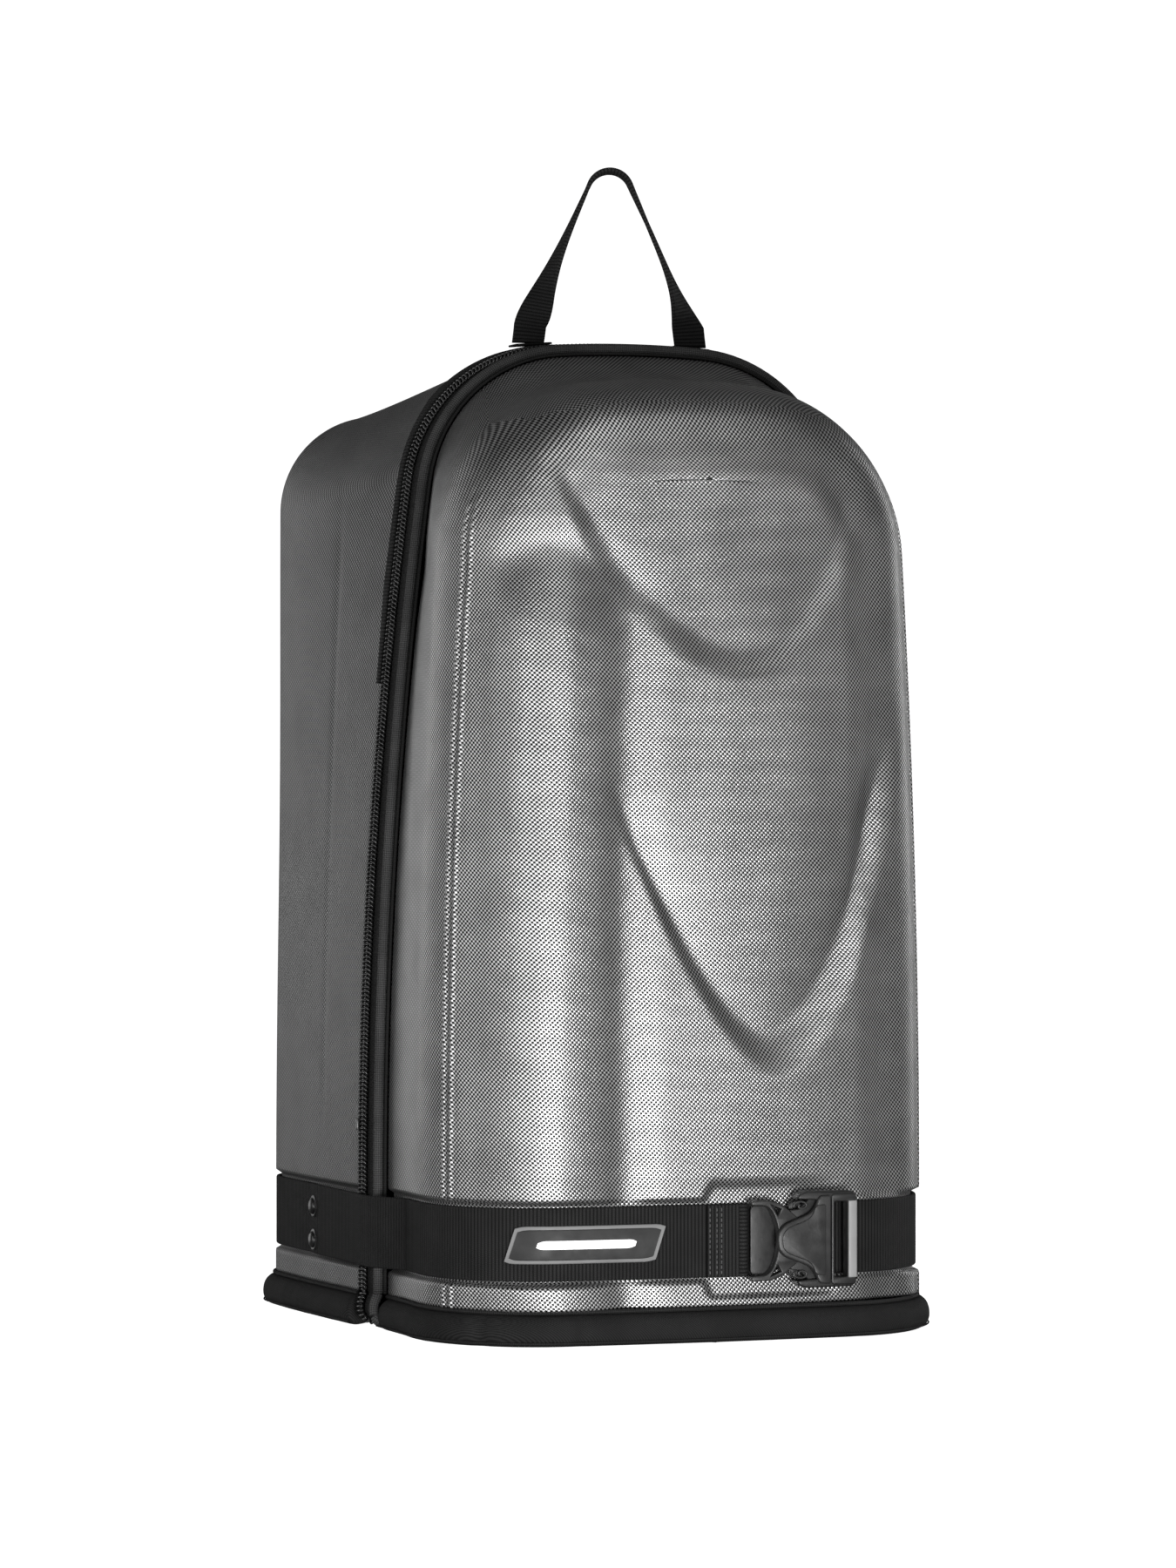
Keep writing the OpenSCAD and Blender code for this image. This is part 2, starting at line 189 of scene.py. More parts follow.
def turned(path, side=None):
    """Frames for a tube along a list of points, with no twist about the given side direction."""
    frames = []
    for i, point in enumerate(path):
        tangent = (path[min(i + 1, len(path) - 1)] - path[max(i - 1, 0)]).normalized()
        reference = side[i] if side else (Vector((0, 0, 1)) if abs(tangent.z) < 0.9 else Vector((0, 1, 0)))
        a = tangent.cross(reference).normalized()
        frames.append((point, a, tangent.cross(a)))
    return frames


def spline(points, steps):
    """A smooth line through points."""
    line = []
    for i in range(len(points) - 1):
        p = [points[max(i - 1, 0)], points[i], points[i + 1], points[min(i + 2, len(points) - 1)]]
        for k in range(steps):
            t = k / steps
            line.append(0.5 * (2 * p[1] + (p[2] - p[0]) * t + (2 * p[0] - 5 * p[1] + 4 * p[2] - p[3]) * t * t
                               + (3 * p[1] - p[0] - 3 * p[2] + p[3]) * t ** 3))
    return line + [points[-1]]


# ---- arches
def arch_parts(arch):
    """Lean angle, corner centre, drop of the crown's centre and angle where the crown starts."""
    lean = math.asin((arch.corner_z - LEAN_Z) / arch.lean_r)
    centre = (arch.leg - arch.lean_r * (1 - math.cos(lean)) - arch.corner_r * math.cos(lean),
              arch.corner_z - arch.corner_r * math.sin(lean))
    drop = math.sqrt((arch.crown_r - arch.corner_r) ** 2 - centre[0] ** 2)
    return lean, centre, drop, math.atan2(drop, centre[0])


def arch_at(arch, s):
    """Point of an arch's right half and its outward normal; s is 0 at the foot and 4 at the top."""
    lean, centre, drop, top = arch_parts(arch)
    if s <= 1:
        return np.array((arch.leg, RIM_Z + (LEAN_Z - RIM_Z) * s)), np.array((1.0, 0.0))
    if s <= 2:
        middle, radius, t = (arch.leg - arch.lean_r, LEAN_Z), arch.lean_r, lean * (s - 1)
    elif s <= 3:
        middle, radius, t = centre, arch.corner_r, lean + (top - lean) * (s - 2)
    else:
        middle, radius, t = (0.0, centre[1] - drop), arch.crown_r, top + (math.pi / 2 - top) * (s - 3)
    normal = np.array((math.cos(t), math.sin(t)))
    return np.array(middle) + radius * normal, normal


def arch_steps(arch, pitch, start=0.0, end=4.0):
    """Values of s spaced about evenly along an arch."""
    lean, _, _, top = arch_parts(arch)
    lengths = [LEAN_Z - RIM_Z, arch.lean_r * lean, arch.corner_r * (top - lean)]
    lengths.append(arch.crown_r * (math.pi / 2 - top))
    steps = []
    for part, length in enumerate(lengths):
        count = max(2, round(length / pitch))
        steps += [part + k / count for k in range(count)]
    return [s for s in steps if start <= s < end] + [end]


def arch_frames(arch, y, pitch, start=0.0, inset=0.0):
    """Frames from the left foot over the top to the right foot: outward first, then towards the back."""
    half = arch_steps(arch, pitch, start)
    sides = [(-1, s) for s in half] + [(1, s) for s in reversed(half[:-1])]
    frames = []
    for sign, s in sides:
        point, normal = arch_at(arch, s)
        point = point - inset * normal
        frames.append((Vector((sign * point[0], y, point[1])), Vector((sign * normal[0], 0, normal[1])),
                       Vector((0, 1, 0))))
    return frames


# ---- moulded shells
def columns(side, flank_steps, fillet_angles):
    """Distance from the zip, inset, blend to the far arch and fillet angle, which is -1 on the flank."""
    result = []
    for k in range(flank_steps):
        t = k / flank_steps
        result.append((side.start + (side.flank - side.start) * t,
                       side.start_inset + (side.flank_inset - side.start_inset) * t,
                       math.sin(math.radians(90 * t)), -1.0))
    for angle in fillet_angles:
        t = math.radians(angle)
        result.append((side.flank + (side.depth - side.flank) * math.sin(t),
                       side.flank_inset + (side.far_inset - side.flank_inset) * (1 - math.cos(t)),
                       1.0, angle))
    return np.array(result)


def shell_surface(side, s_values, cols, across):
    """Grid of a shell's smooth outer surface, with each column's fillet angle and distance from the zip."""
    def inset_arch(arch):
        points, normals = zip(*(arch_at(arch, s) for s in s_values))
        return np.array(points)[:, None, :] - cols[None, :, 1, None] * np.array(normals)[:, None, :]

    blend = cols[None, :, 2, None]
    xz = inset_arch(ZIP_ARCH) * (1 - blend) + inset_arch(side.arch) * blend
    share = (cols[:, 0] - side.start) / (side.depth - side.start)
    y = ZIP_Y + side.way * (cols[:, 0] + side.crown * share * (1 - (xz[..., 0] / LEG_X) ** 2))
    flank = np.stack([xz[..., 0], y, xz[..., 1]], axis=-1)
    end = flank[:, -1, :]
    t = np.linspace(-1, 1, across + 2)[1:-1]
    x = end[:, 0, None] * t[None, :]
    face_y = end[:, 1, None] + side.way * side.crown * ((end[:, 0, None] / LEG_X) ** 2 - (x / LEG_X) ** 2)
    face = np.stack([x, face_y, np.repeat(end[:, 2, None], across, axis=1)], axis=-1)
    left = flank * np.array((-1, 1, 1))
    grid = np.concatenate([left, face, flank[:, ::-1, :]], axis=1)
    angle = np.concatenate([cols[:, 3], np.full(across, 90.0), cols[::-1, 3]])
    distance = np.concatenate([cols[:, 0], np.full(across, side.depth), cols[::-1, 0]])
    return grid, angle, distance


def grid_normals(grid, way):
    up = np.gradient(grid, axis=0)
    along = np.gradient(grid, axis=1)
    normal = np.cross(along, up) * -way
    length = np.linalg.norm(normal, axis=-1, keepdims=True)
    return normal / np.maximum(length, 1e-9)


def above_curve(x, z, foot, left, right):
    """Height above a curve rising to both sides of its foot; left and right are (rise, reach, power)."""
    before = left[0] * (np.maximum(foot[0] - x, 0.0) / left[1]) ** left[2]
    beyond = right[0] * (np.maximum(x - foot[0], 0.0) / right[1]) ** right[2]
    return z - foot[1] - before - beyond


def scoop(inner, outer, fade):
    """A dip that falls quickly from the outer line to the inner one and rises slowly beyond it."""
    wall = np.clip(outer / np.maximum(outer - inner, 3.0), 0.0, 1.0)
    return np.where(inner > 0, np.exp(-np.maximum(inner, 0) / fade), wall * wall * (3 - 2 * wall))


def strap_recess(x, z, pocket):
    """Share of the strap groove's depth; the pocket for the buckle is taller, with slanted ends."""
    low, high = STRAP_Z - WEB_W / 2 - 0.6, STRAP_Z + WEB_W / 2 + 0.6
    recess = smooth(low - 1.6, low, z) * (1 - smooth(high, high + 1.8, z))
    if pocket:
        reach = np.abs(x - 23.0) + 0.5 * np.maximum(np.abs(z - STRAP_Z) - 13.0, 0)
        tall = smooth(STRAP_Z - 20.0, STRAP_Z - 18.6, z) * (1 - smooth(STRAP_Z + 18.4, STRAP_Z + 19.8, z))
        recess = np.maximum(recess, tall * (1 - smooth(25.5, 27.5, reach)))
    return recess


# Feet and limbs of the two V-shaped scoops in the front, each with an inner and an outer line.
LOWER_INNER = ((20.0, 106.0), (70.0, 49.0, 1.6), (81.0, 46.0, 2.0))
LOWER_OUTER = ((24.0, 89.0), (65.0, 48.0, 1.6), (53.0, 39.0, 2.0))
UPPER_INNER = ((14.0, 236.0), (73.0, 72.0, 1.87), (57.0, 42.0, 1.91))
UPPER_OUTER = ((12.0, 226.0), (33.0, 50.0, 2.1), (37.0, 43.0, 2.3))
COLUMN_X, COLUMN_TOP, COLUMN_R = -58.0, 240.0, 21.5
RIDGE_ANGLES = (25.0, 30.5)


def front_relief(grid, angle, _):
    """Height of the sculpted front above the smooth shell."""
    x, z = grid[..., 0], grid[..., 2]
    angle = np.broadcast_to(angle, x.shape)
    reach = smooth(-10.0, 50.0, x)
    lower = scoop(above_curve(x, z, *LOWER_INNER), above_curve(x, z, *LOWER_OUTER), 42.0)
    lower *= 1 - smooth(145 + 25 * reach, 195 + 40 * reach, z)
    upper = scoop(above_curve(x, z, *UPPER_INNER), above_curve(x, z, *UPPER_OUTER), 90.0)
    upper *= 1 - smooth(288 - 25 * reach, 325 - 20 * reach, z)
    radial = np.sqrt((x - COLUMN_X) ** 2 + np.maximum(z - COLUMN_TOP, 0.0) ** 2) - COLUMN_R
    column = 3.4 * (1 - smooth(-19.0, 4.5, radial)) * smooth(34.0, 52.0, angle)
    valley = 2.1 * bell(radial, 6.5 + 0.04 * np.maximum(z - 200.0, 0.0), 7.5) * smooth(-86.0, -68.0, x)
    falling = 4.0 * (np.maximum(x - 2.0, 0.0) / 60.0) ** 2 + 4.0 * smooth(215.0, 330.0, z)
    height = column - valley - smooth(40.0, 75.0, angle) * (4.0 * lower + 2.6 * upper + falling)
    ridges = bell(angle, RIDGE_ANGLES[0], 1.0) + bell(angle, RIDGE_ANGLES[1], 1.0)
    height = height + 0.75 * ridges * smooth(300.0, 270.0, z)
    height = height + 0.5 * smooth(21.0, 33.0, angle) * smooth(90.0, 50.0, angle)
    recess = strap_recess(x, z, True)
    return height * (1 - 0.85 * recess) - GROOVE * recess


def back_relief(grid, _, distance):
    """Height of the back shell above its smooth shape: strap groove, waist and a faint flank crease."""
    x, z = grid[..., 0], grid[..., 2]
    crease = bell(distance, 40.0, 1.6) * smooth(60.0, 90.0, z) * smooth(300.0, 270.0, z)
    waist = bell(z, 190.0, 90.0) * smooth(10.0, 50.0, distance)
    return -0.5 * crease - 1.0 * waist - GROOVE * strap_recess(x, z, False)


def shell_rows(pitch):
    leg = [k / 50 for k in range(50)]
    return leg + [s for s in arch_steps(ZIP_ARCH, pitch) if 1 <= s < 3.97] + [3.99]


def shell_piece(name, side, relief, skin, wall, fine):
    """A shell or lining: its outer surface pushed in by skin, with rims turned in by wall."""
    if fine:
        angles = np.concatenate([np.linspace(0, 20, 12), np.linspace(20.6, 36, 27), np.linspace(37, 90, 52)])
        cols = columns(side, 22 if side.way < 0 else 40, angles)
        rows, across = shell_rows(1.9), 75
    else:
        cols = columns(side, 12, list(np.linspace(0, 90, 20)))
        rows, across = shell_rows(4.0)[::2], 21
    grid, angle, distance = shell_surface(side, rows, cols, across)
    normal = grid_normals(grid, side.way)
    height = relief(grid, angle, distance)
    surface = grid + normal * (height - skin)[..., None]
    inner = grid + normal * (height - skin - wall)[..., None]
    count, width = surface.shape[:2]
    # Up the legs the weave follows the surface round the fillets; over the top it lies square to the front.
    run = np.diff(grid, axis=1)[..., :2]
    run[..., 1] *= (1 - smooth(2.0, 2.7, np.array(rows)))[:, None]
    steps = np.linalg.norm(run, axis=-1)
    along = np.concatenate([np.zeros((count, 1)), np.cumsum(steps, axis=1)], axis=1)
    along -= along[:, width // 2, None]
    # The edges of the grid are turned in over the wall in four steps.
    points = surface.reshape(-1, 3).tolist()
    uv_of = np.stack([along, grid[..., 2]], axis=-1).reshape(-1, 2).tolist()
    faces = []
    for i in range(count - 1):
        for j in range(width - 1):
            a = i * width + j
            faces.append((a, a + 1, a + width + 1, a + width))
    last = (count - 1) * width
    for j in range(width // 2):
        a, b = last + j, last + width - 1 - j
        faces.append((a, a + 1, b - 1, b) if a + 1 < b - 1 else (a, a + 1, b))
    border = [(i * width, i, 0) for i in range(count - 1, 0, -1)] + [(j, 0, j) for j in range(width)]
    border += [(i * width + width - 1, i, width - 1) for i in range(1, count)]
    previous = [b[0] for b in border]
    for depth, share in ((0.35, 0.15), (0.65, 0.5), (0.65, 0.85), (0.0, 1.0)):
        start = len(points)
        for _, i, j in border:
            p = surface[i, j] * (1 - share) + inner[i, j] * share + rim_direction(surface, i, j) * depth
            points.append(p.tolist())
            uv_of.append([along[i, j], grid[i, j, 2]])
        for k in range(len(border) - 1):
            faces.append((previous[k], start + k, start + k + 1, previous[k + 1]))
        faces.append((previous[-1], start + len(border) - 1, start, previous[0]))
        previous = list(range(start, start + len(border)))
    if side.way > 0:
        faces = [tuple(reversed(f)) for f in faces]
    uvs = [uv_of[v] for f in faces for v in f]
    return new_object(name, points, faces, uvs)


def rim_direction(surface, i, j):
    """Unit direction out over the edge of a shell's grid at one of its border points."""
    width = surface.shape[1]
    if i == 0 and 0 < j < width - 1:
        step = surface[0, j] - surface[1, j]
    else:
        step = surface[i, 0] - surface[i, 1] if j == 0 else surface[i, width - 1] - surface[i, width - 2]
    return step / max(np.linalg.norm(step), 1e-9)


def level_frames(points, way=1):
    """Frames (point, outward, up) along a level line; way is -1 where outward is on the line's left."""
    frames = []
    for i, p in enumerate(points):
        step = points[min(i + 1, len(points) - 1)] - points[max(i - 1, 0)]
        frames.append((p, Vector((step.y, -step.x, 0)).normalized() * way, Vector((0, 0, 1))))
    return frames


def plan_line(side, level, out, z):
    """A shell's outline at one level, moved outwards in plan, as frames (point, outward, up) at height z."""
    cols = columns(side, 14, list(np.linspace(0, 90, 26)))
    grid, _, _ = shell_surface(side, [(level - RIM_Z) / (LEAN_Z - RIM_Z)], cols, 31)
    frames = level_frames([Vector((p[0], p[1], z)) for p in grid[0]], -side.way)
    return [(p + normal * out, normal, up) for p, normal, up in frames]


# ---- materials
class Graph:
    """Builds one material's node tree with short calls."""

    def __init__(self, name):
        self.material = bpy.data.materials.new(name)
        self.material.use_nodes = True
        self.tree = self.material.node_tree
        self.bsdf = self.tree.nodes["Principled BSDF"]

    def node(self, kind, inputs=None, **settings):
        node = self.tree.nodes.new(kind)
        for key, value in settings.items():
            setattr(node, key, value)
        for key, value in (inputs or {}).items():
            if isinstance(value, bpy.types.NodeSocket):
                self.tree.links.new(value, node.inputs[key])
            else:
                node.inputs[key].default_value = value
        return node

    def math(self, operation, *values):
        return self.node("ShaderNodeMath", dict(enumerate(values)), operation=operation).outputs[0]

    def times(self, a, b):
        return self.math("MULTIPLY", a, b)

    def plus(self, a, b):
        return self.math("ADD", a, b)

    def coordinates(self, output):
        vector = self.node("ShaderNodeTexCoord").outputs[output]
        return self.node("ShaderNodeSeparateXYZ", {0: vector}).outputs

    def wave(self, coordinate, pitch, phase=0.0):
        """A sine of a coordinate in metres with its pitch in millimetres."""
        return self.math("SINE", self.math("MULTIPLY_ADD", coordinate, 2 * math.pi / (pitch * MM), phase))

    def noise(self, scale, detail=3.0, stretch=(1.0, 1.0, 1.0)):
        vector = self.node("ShaderNodeTexCoord").outputs["Object"]
        mapped = self.node("ShaderNodeMapping", {"Vector": vector, "Scale": stretch}).outputs[0]
        inputs = {"Vector": mapped, "Scale": scale, "Detail": detail}
        return self.node("ShaderNodeTexNoise", inputs).outputs["Fac"]

    def remap(self, value, low, high, to_low, to_high):
        inputs = {"Value": value, "From Min": low, "From Max": high, "To Min": to_low, "To Max": to_high}
        return self.node("ShaderNodeMapRange", inputs).outputs[0]

    def blend(self, factor, low, high):
        """Mixes two greys or colours; a grey is one number."""
        pair = [(c, c, c, 1.0) if isinstance(c, float) else c for c in (low, high)]
        return self.node("ShaderNodeMix", {0: factor, 6: pair[0], 7: pair[1]}, data_type="RGBA").outputs[2]

    def choose(self, factor, low, high):
        return self.node("ShaderNodeMix", {0: factor, 2: low, 3: high}, data_type="FLOAT").outputs[0]

    def fabric(self, height, dark, light, depth, roughness, shine, mottle=(80.0, 3.0, 0.7, 1.2)):
        """Finishes a fabric with this relief; mottle is the scale, detail, low and high of its patches."""
        patches = self.remap(self.noise(*mottle[:2]), 0.3, 0.7, *mottle[2:])
        colour = self.blend(self.times(height, patches), dark, light)
        return self.finish(colour, height, depth, Roughness=roughness, Specular_IOR_Level=shine)

    def finish(self, colour, height=None, depth=0.1, **settings):
        """Connects colour and a height, whose full range stands for depth in millimetres."""
        self.tree.links.new(colour, self.bsdf.inputs["Base Color"])
        for key, value in settings.items():
            socket = self.bsdf.inputs[key.replace("_", " ")]
            if isinstance(value, bpy.types.NodeSocket):
                self.tree.links.new(value, socket)
            else:
                socket.default_value = value
        if height is not None:
            bump = self.node("ShaderNodeBump", {"Strength": 1.0, "Distance": depth * MM, "Height": height})
            self.tree.links.new(bump.outputs[0], self.bsdf.inputs["Normal"])
        return self.material


def shell_material(name, dark, light, roughness, metallic):
    """Satin woven skin: staggered yarn crowns about 1.6 mm apart; its colour puts painted shade in the gaps
    between them and a painted highlight on the crowns.
    """
    g = Graph(name)
    uv, here, facing = g.coordinates("UV"), g.coordinates("Object"), g.coordinates("Normal")
    top = g.math("GREATER_THAN", g.math("ABSOLUTE", facing[2]), 0.75)
    u = g.choose(top, uv[0], here[0])
    v = g.choose(top, uv[1], here[1])
    drift = g.times(g.math("SUBTRACT", g.noise(14.0, 1.0), 0.5), 0.0012)
    leaning = g.plus(g.math("MULTIPLY_ADD", v, 0.16, u), drift)
    crowns = g.times(g.wave(leaning, 1.6), g.wave(g.plus(v, drift), 1.5))
    yarn = g.times(g.wave(g.plus(leaning, v), 0.53), 0.12)
    weave = g.remap(g.plus(crowns, yarn), -0.9, 0.9, 0.0, 1.0)
    patchy = g.remap(g.noise(60.0, 4.0), 0.3, 0.7, 0.82, 1.12)
    # shade: the weave in colour, with painted shade in the gaps and a painted highlight on the crowns, under
    # random patches
    shade = g.times(g.remap(weave, 0.32, 0.85, 0.0, 1.0), patchy)
    rough = g.remap(weave, 0.0, 1.0, roughness + 0.16, roughness - 0.04)
    return g.finish(g.blend(shade, dark, light), weave, 0.11, Roughness=rough, Metallic=metallic)


def webbing_material(name):
    """Ribbed polyester webbing: ribs across the strap every 1.3 mm with slanting threads on each."""
    g = Graph(name)
    uv = g.coordinates("UV")
    rib = g.math("ABSOLUTE", g.wave(uv[0], 2.6))
    slant = g.times(g.wave(uv[0], 2.6), 0.0006)
    threads = g.math("ABSOLUTE", g.wave(g.plus(uv[1], slant), 1.5))
    height = g.plus(g.math("POWER", rib, 0.6), g.times(threads, 0.35))
    shade = g.times(g.remap(height, 0.5, 1.35, 0.0, 1.0), g.remap(g.noise(90.0), 0.3, 0.7, 0.7, 1.2))
    return g.finish(g.blend(shade, 0.002, 0.012), height, 0.3, Roughness=0.72, Specular_IOR_Level=0.1)


def twill_material(name, dark, light, pitch):
    """Coated twill with fine diagonal threads, laid round the outline of the case."""
    g = Graph(name)
    here = g.coordinates("Object")
    round_case = g.plus(here[0], here[1])
    diagonal = g.wave(g.plus(round_case, here[2]), pitch)
    cross = g.times(g.wave(g.math("SUBTRACT", round_case, here[2]), pitch * 0.8), 0.35)
    height = g.remap(g.plus(diagonal, cross), -1.3, 1.3, 0.0, 1.0)
    return g.fabric(height, dark, light, 0.16, 0.75, 0.12, (45.0, 5.0, 0.6, 1.3))


def braid_material(name, dark, light):
    """Braided cover of the piping: crossing yarns that make small diamonds."""
    g = Graph(name)
    uv = g.coordinates("UV")
    left = g.wave(g.plus(uv[0], uv[1]), 1.5)
    right = g.wave(g.math("SUBTRACT", uv[0], uv[1]), 1.5)
    height = g.remap(g.times(left, right), -1.0, 1.0, 0.0, 1.0)
    return g.fabric(height, dark, light, 0.25, 0.75, 0.14)


def herringbone_material(name):
    """Zip tape: narrow columns whose threads slant one way and then the other."""
    g = Graph(name)
    uv = g.coordinates("UV")
    slant = g.times(g.math("ABSOLUTE", g.wave(uv[1], 4.0)), 0.0011)
    height = g.remap(g.wave(g.plus(uv[0], slant), 0.9), -1.0, 1.0, 0.0, 1.0)
    return g.fabric(height, 0.002, 0.012, 0.18, 0.74, 0.1, (70.0, 3.0, 0.7, 1.2))


def moulded_material(name, dark, light, roughness, metallic=0.0, grain=900.0, depth=0.03, shine=0.5):
    """Moulded plastic or coated metal: fine spark grain, faint flow marks and a painted highlight that makes
    convex edges paler.
    """
    g = Graph(name)
    # edge: painted highlight along convex edges, found from pointiness
    edge = g.remap(g.node("ShaderNodeNewGeometry").outputs["Pointiness"], 0.51, 0.6, 0.0, 1.0)
    flow = g.remap(g.noise(35.0, 5.0, stretch=(1.0, 1.0, 4.0)), 0.3, 0.7, 0.0, 0.55)
    shade = g.math("MINIMUM", g.plus(flow, g.times(edge, 0.45)), 1.0)
    rough = g.remap(g.noise(220.0, 4.0), 0.3, 0.7, roughness - 0.07, roughness + 0.09)
    return g.finish(g.blend(shade, dark, light), g.noise(grain, 2.0), depth, Roughness=rough,
                    Metallic=metallic, Specular_IOR_Level=shine)


SHELL_FRONT = shell_material("woven_skin_front", 0.002, 0.46, 0.34, 0.82)
SHELL_BACK = shell_material("woven_skin_back", 0.003, 0.17, 0.42, 0.55)
LINING = twill_material("lining_fabric", 0.012, 0.035, 0.9)
TAPE = herringbone_material("zip_tape_weave")
COIL = moulded_material("coil_nylon", 0.006, 0.03, 0.26, grain=500.0, depth=0.01)
PIPING = braid_material("piping_braid", 0.008, 0.055)
PIPING_BLACK = braid_material("piping_black", 0.003, 0.012)
WEBBING = webbing_material("ribbed_webbing")
BASE_FABRIC = twill_material("coated_twill", 0.002, 0.011, 0.95)
BOARD = moulded_material("fibre_board", 0.03, 0.06, 0.85, grain=300.0, depth=0.1)
RUBBER_DARK = moulded_material("badge_rubber_dark", 0.006, 0.015, 0.55, shine=0.2)
RUBBER_GREY = moulded_material("badge_rubber_grey", 0.08, 0.12, 0.55, shine=0.3)
RUBBER_LIGHT = moulded_material("badge_rubber_light", 0.62, 0.72, 0.45)
BUCKLE = moulded_material("buckle_acetal", 0.007, 0.02, 0.36, shine=0.25)
BUCKLE_DARK = moulded_material("buckle_acetal_dark", 0.003, 0.012, 0.4, shine=0.25)
BUCKLE_PALE = moulded_material("buckle_bar_pale", 0.09, 0.14, 0.5)
RIVET = moulded_material("rivet_enamel", 0.004, 0.03, 0.3, metallic=0.5)
SLIDER_METAL = moulded_material("slider_gunmetal", 0.05, 0.16, 0.3, metallic=0.9)
TRIM_METAL = moulded_material("trim_steel", 0.3, 0.5, 0.28, metallic=1.0)
THREAD = moulded_material("sewing_thread", 0.012, 0.035, 0.55)


# ---- shells, linings and zip
def build_shells():
    halves = (("front", FRONT, front_relief, SHELL_FRONT), ("back", BACK, back_relief, SHELL_BACK))
    for half, side, relief, material in halves:
        shell = shell_piece(f"shell_{half}", side, relief, 0.0, SHELL_WALL, True)
        place(shell, material, f"case_{half}", "shell_skin", f"{half}_shell")
    for half, side, relief, _ in halves:
        lining = shell_piece(f"lining_{half}", side, relief, SHELL_WALL + 0.3, 1.0, False)
        place(lining, LINING, f"case_{half}", "lining", f"{half}_lining")


def coil(name, way):
    """One side of the coil: a flattened nylon helix whose tips reach over the middle of the zip."""
    pitch, wire, steps = 1.5, 0.4, 10
    spine = arch_frames(ZIP_ARCH, ZIP_Y, 1.5)
    lengths = running_lengths([f[0] for f in spine])
    turns = int(lengths[-1] / pitch)
    origins = np.array([f[0] for f in spine])
    outs = np.array([f[1] for f in spine])
    path, sides = [], []
    for k in range(turns * steps):
        phase = 2 * math.pi * k / steps
        distance = (k / steps + (0.5 if way > 0 else 0.0)) * pitch + 0.35 * math.sin(phase)
        base = [np.interp(distance, lengths, origins[:, axis]) for axis in range(3)]
        out = Vector([np.interp(distance, lengths, outs[:, axis]) for axis in range(3)]).normalized()
        y = way * (1.75 + 1.25 * math.cos(phase))
        path.append(Vector(base) + out * (0.72 * math.sin(phase) - 0.05) + Vector((0, y, 0)))
        sides.append(Vector((-out.z, 0, out.x)))
    return sweep(name, turned(path, sides), circle(wire, 5))


def build_zip():
    place(coil("zip_coil_rear", 1), COIL, "case_back", "zip_coil", "zip_coil_back")
    place(coil("zip_coil_fore", -1), COIL, "case_front", "zip_coil", "zip_coil_front")
    spine = arch_frames(ZIP_ARCH, ZIP_Y, 5.0)
    tapes = (("zip_tape_rear", 2.2, 1.8, "case_back", "zip_tape_back"),
             ("zip_tape_fore", -6.9, 4.0, "case_front", "zip_tape_front"))
    for name, middle, half, body, node in tapes:
        swept(name, spine, rounded(0.4, half, 0.3, middle=(-1.25, middle)), TAPE, body, "zip_tape", node)
    outer = arch_frames(ZIP_ARCH, ZIP_Y - 12.7, 3.0, inset=1.6)
    swept("edge_piping_braid", outer, circle(1.75, 16), PIPING, "case_front", "piping", "edge_piping")
    inner = arch_frames(ZIP_ARCH, ZIP_Y - 13.6, 5.0, inset=3.6)
    swept("edge_piping_flange", inner, rounded(0.5, 1.6, 0.3), PIPING_BLACK, "case_front", "piping")
    def band_profile(t):
        half = 1.4 + 3.1 * smooth(0.0, 0.22, min(t, 1 - t))
        return rounded(0.55, half, 0.45, middle=(0.75, half - 4.5))

    crown = arch_frames(ZIP_ARCH, ZIP_Y + 8.6, 3.0, start=1.7)
    swept("top_seam_band", crown, band_profile, WEBBING, "case_back", "webbing", "top_band")
    edge = arch_frames(ZIP_ARCH, ZIP_Y + 3.7, 4.0)
    binding = rounded(0.7, 0.5, 0.35, middle=(-0.4, 0))
    swept("back_edge_binding", edge, binding, PIPING_BLACK, "case_back", "piping_black")


def build_tails():
    """The zip, its tape and the piping run down between the base bands and are tucked under the base."""
    for side, label in ((-1, "left"), (1, "right")):
        def tail(y, x, end_z):
            return [Vector((side * x, y, 12.4)), Vector((side * (x + 1.6), y - 0.4, 8.0)),
                    Vector((side * (x + 1.2), y - 1.8, 4.0)), Vector((side * (x - 2.2), y - 4.5, end_z)),
                    Vector((side * (x - 8.0), y - 7.5, end_z))]
        middle = turned(spline(tail(ZIP_Y - 6.6, 93.6, 1.6), 6))
        strip = [(p, Vector((0, 1, 0)), a) for p, a, _ in middle]
        nodes = ("zip_tails",) if side < 0 else ()
        swept(f"tail_tape_{label}", strip, rounded(4.0, 0.4, 0.3), TAPE, "case_back", "zip_tape", *nodes)
        route = turned(spline(tail(ZIP_Y - 12.4, 93.8, 2.0), 6))
        swept(f"tail_piping_{label}", route, circle(1.75, 14), PIPING, "case_back", "piping")
        chain = spline(tail(ZIP_Y - 0.3, 95.0, 1.9), 40)
        path, sides, travel = [], [], 0.0
        for i in range(1, len(chain)):
            step = chain[i] - chain[i - 1]
            travel += step.length
            phase = 2 * math.pi * travel / 1.5
            out = Vector((-step.z * -side, 0, step.x * -side)).normalized()
            path.append(chain[i] + Vector((0, 2.4 * math.cos(phase), 0)) + out * 0.75 * math.sin(phase))
            sides.append(step.normalized())
        swept(f"tail_coil_{label}", turned(path, sides), circle(0.42, 5), COIL, "case_back", "zip_coil")


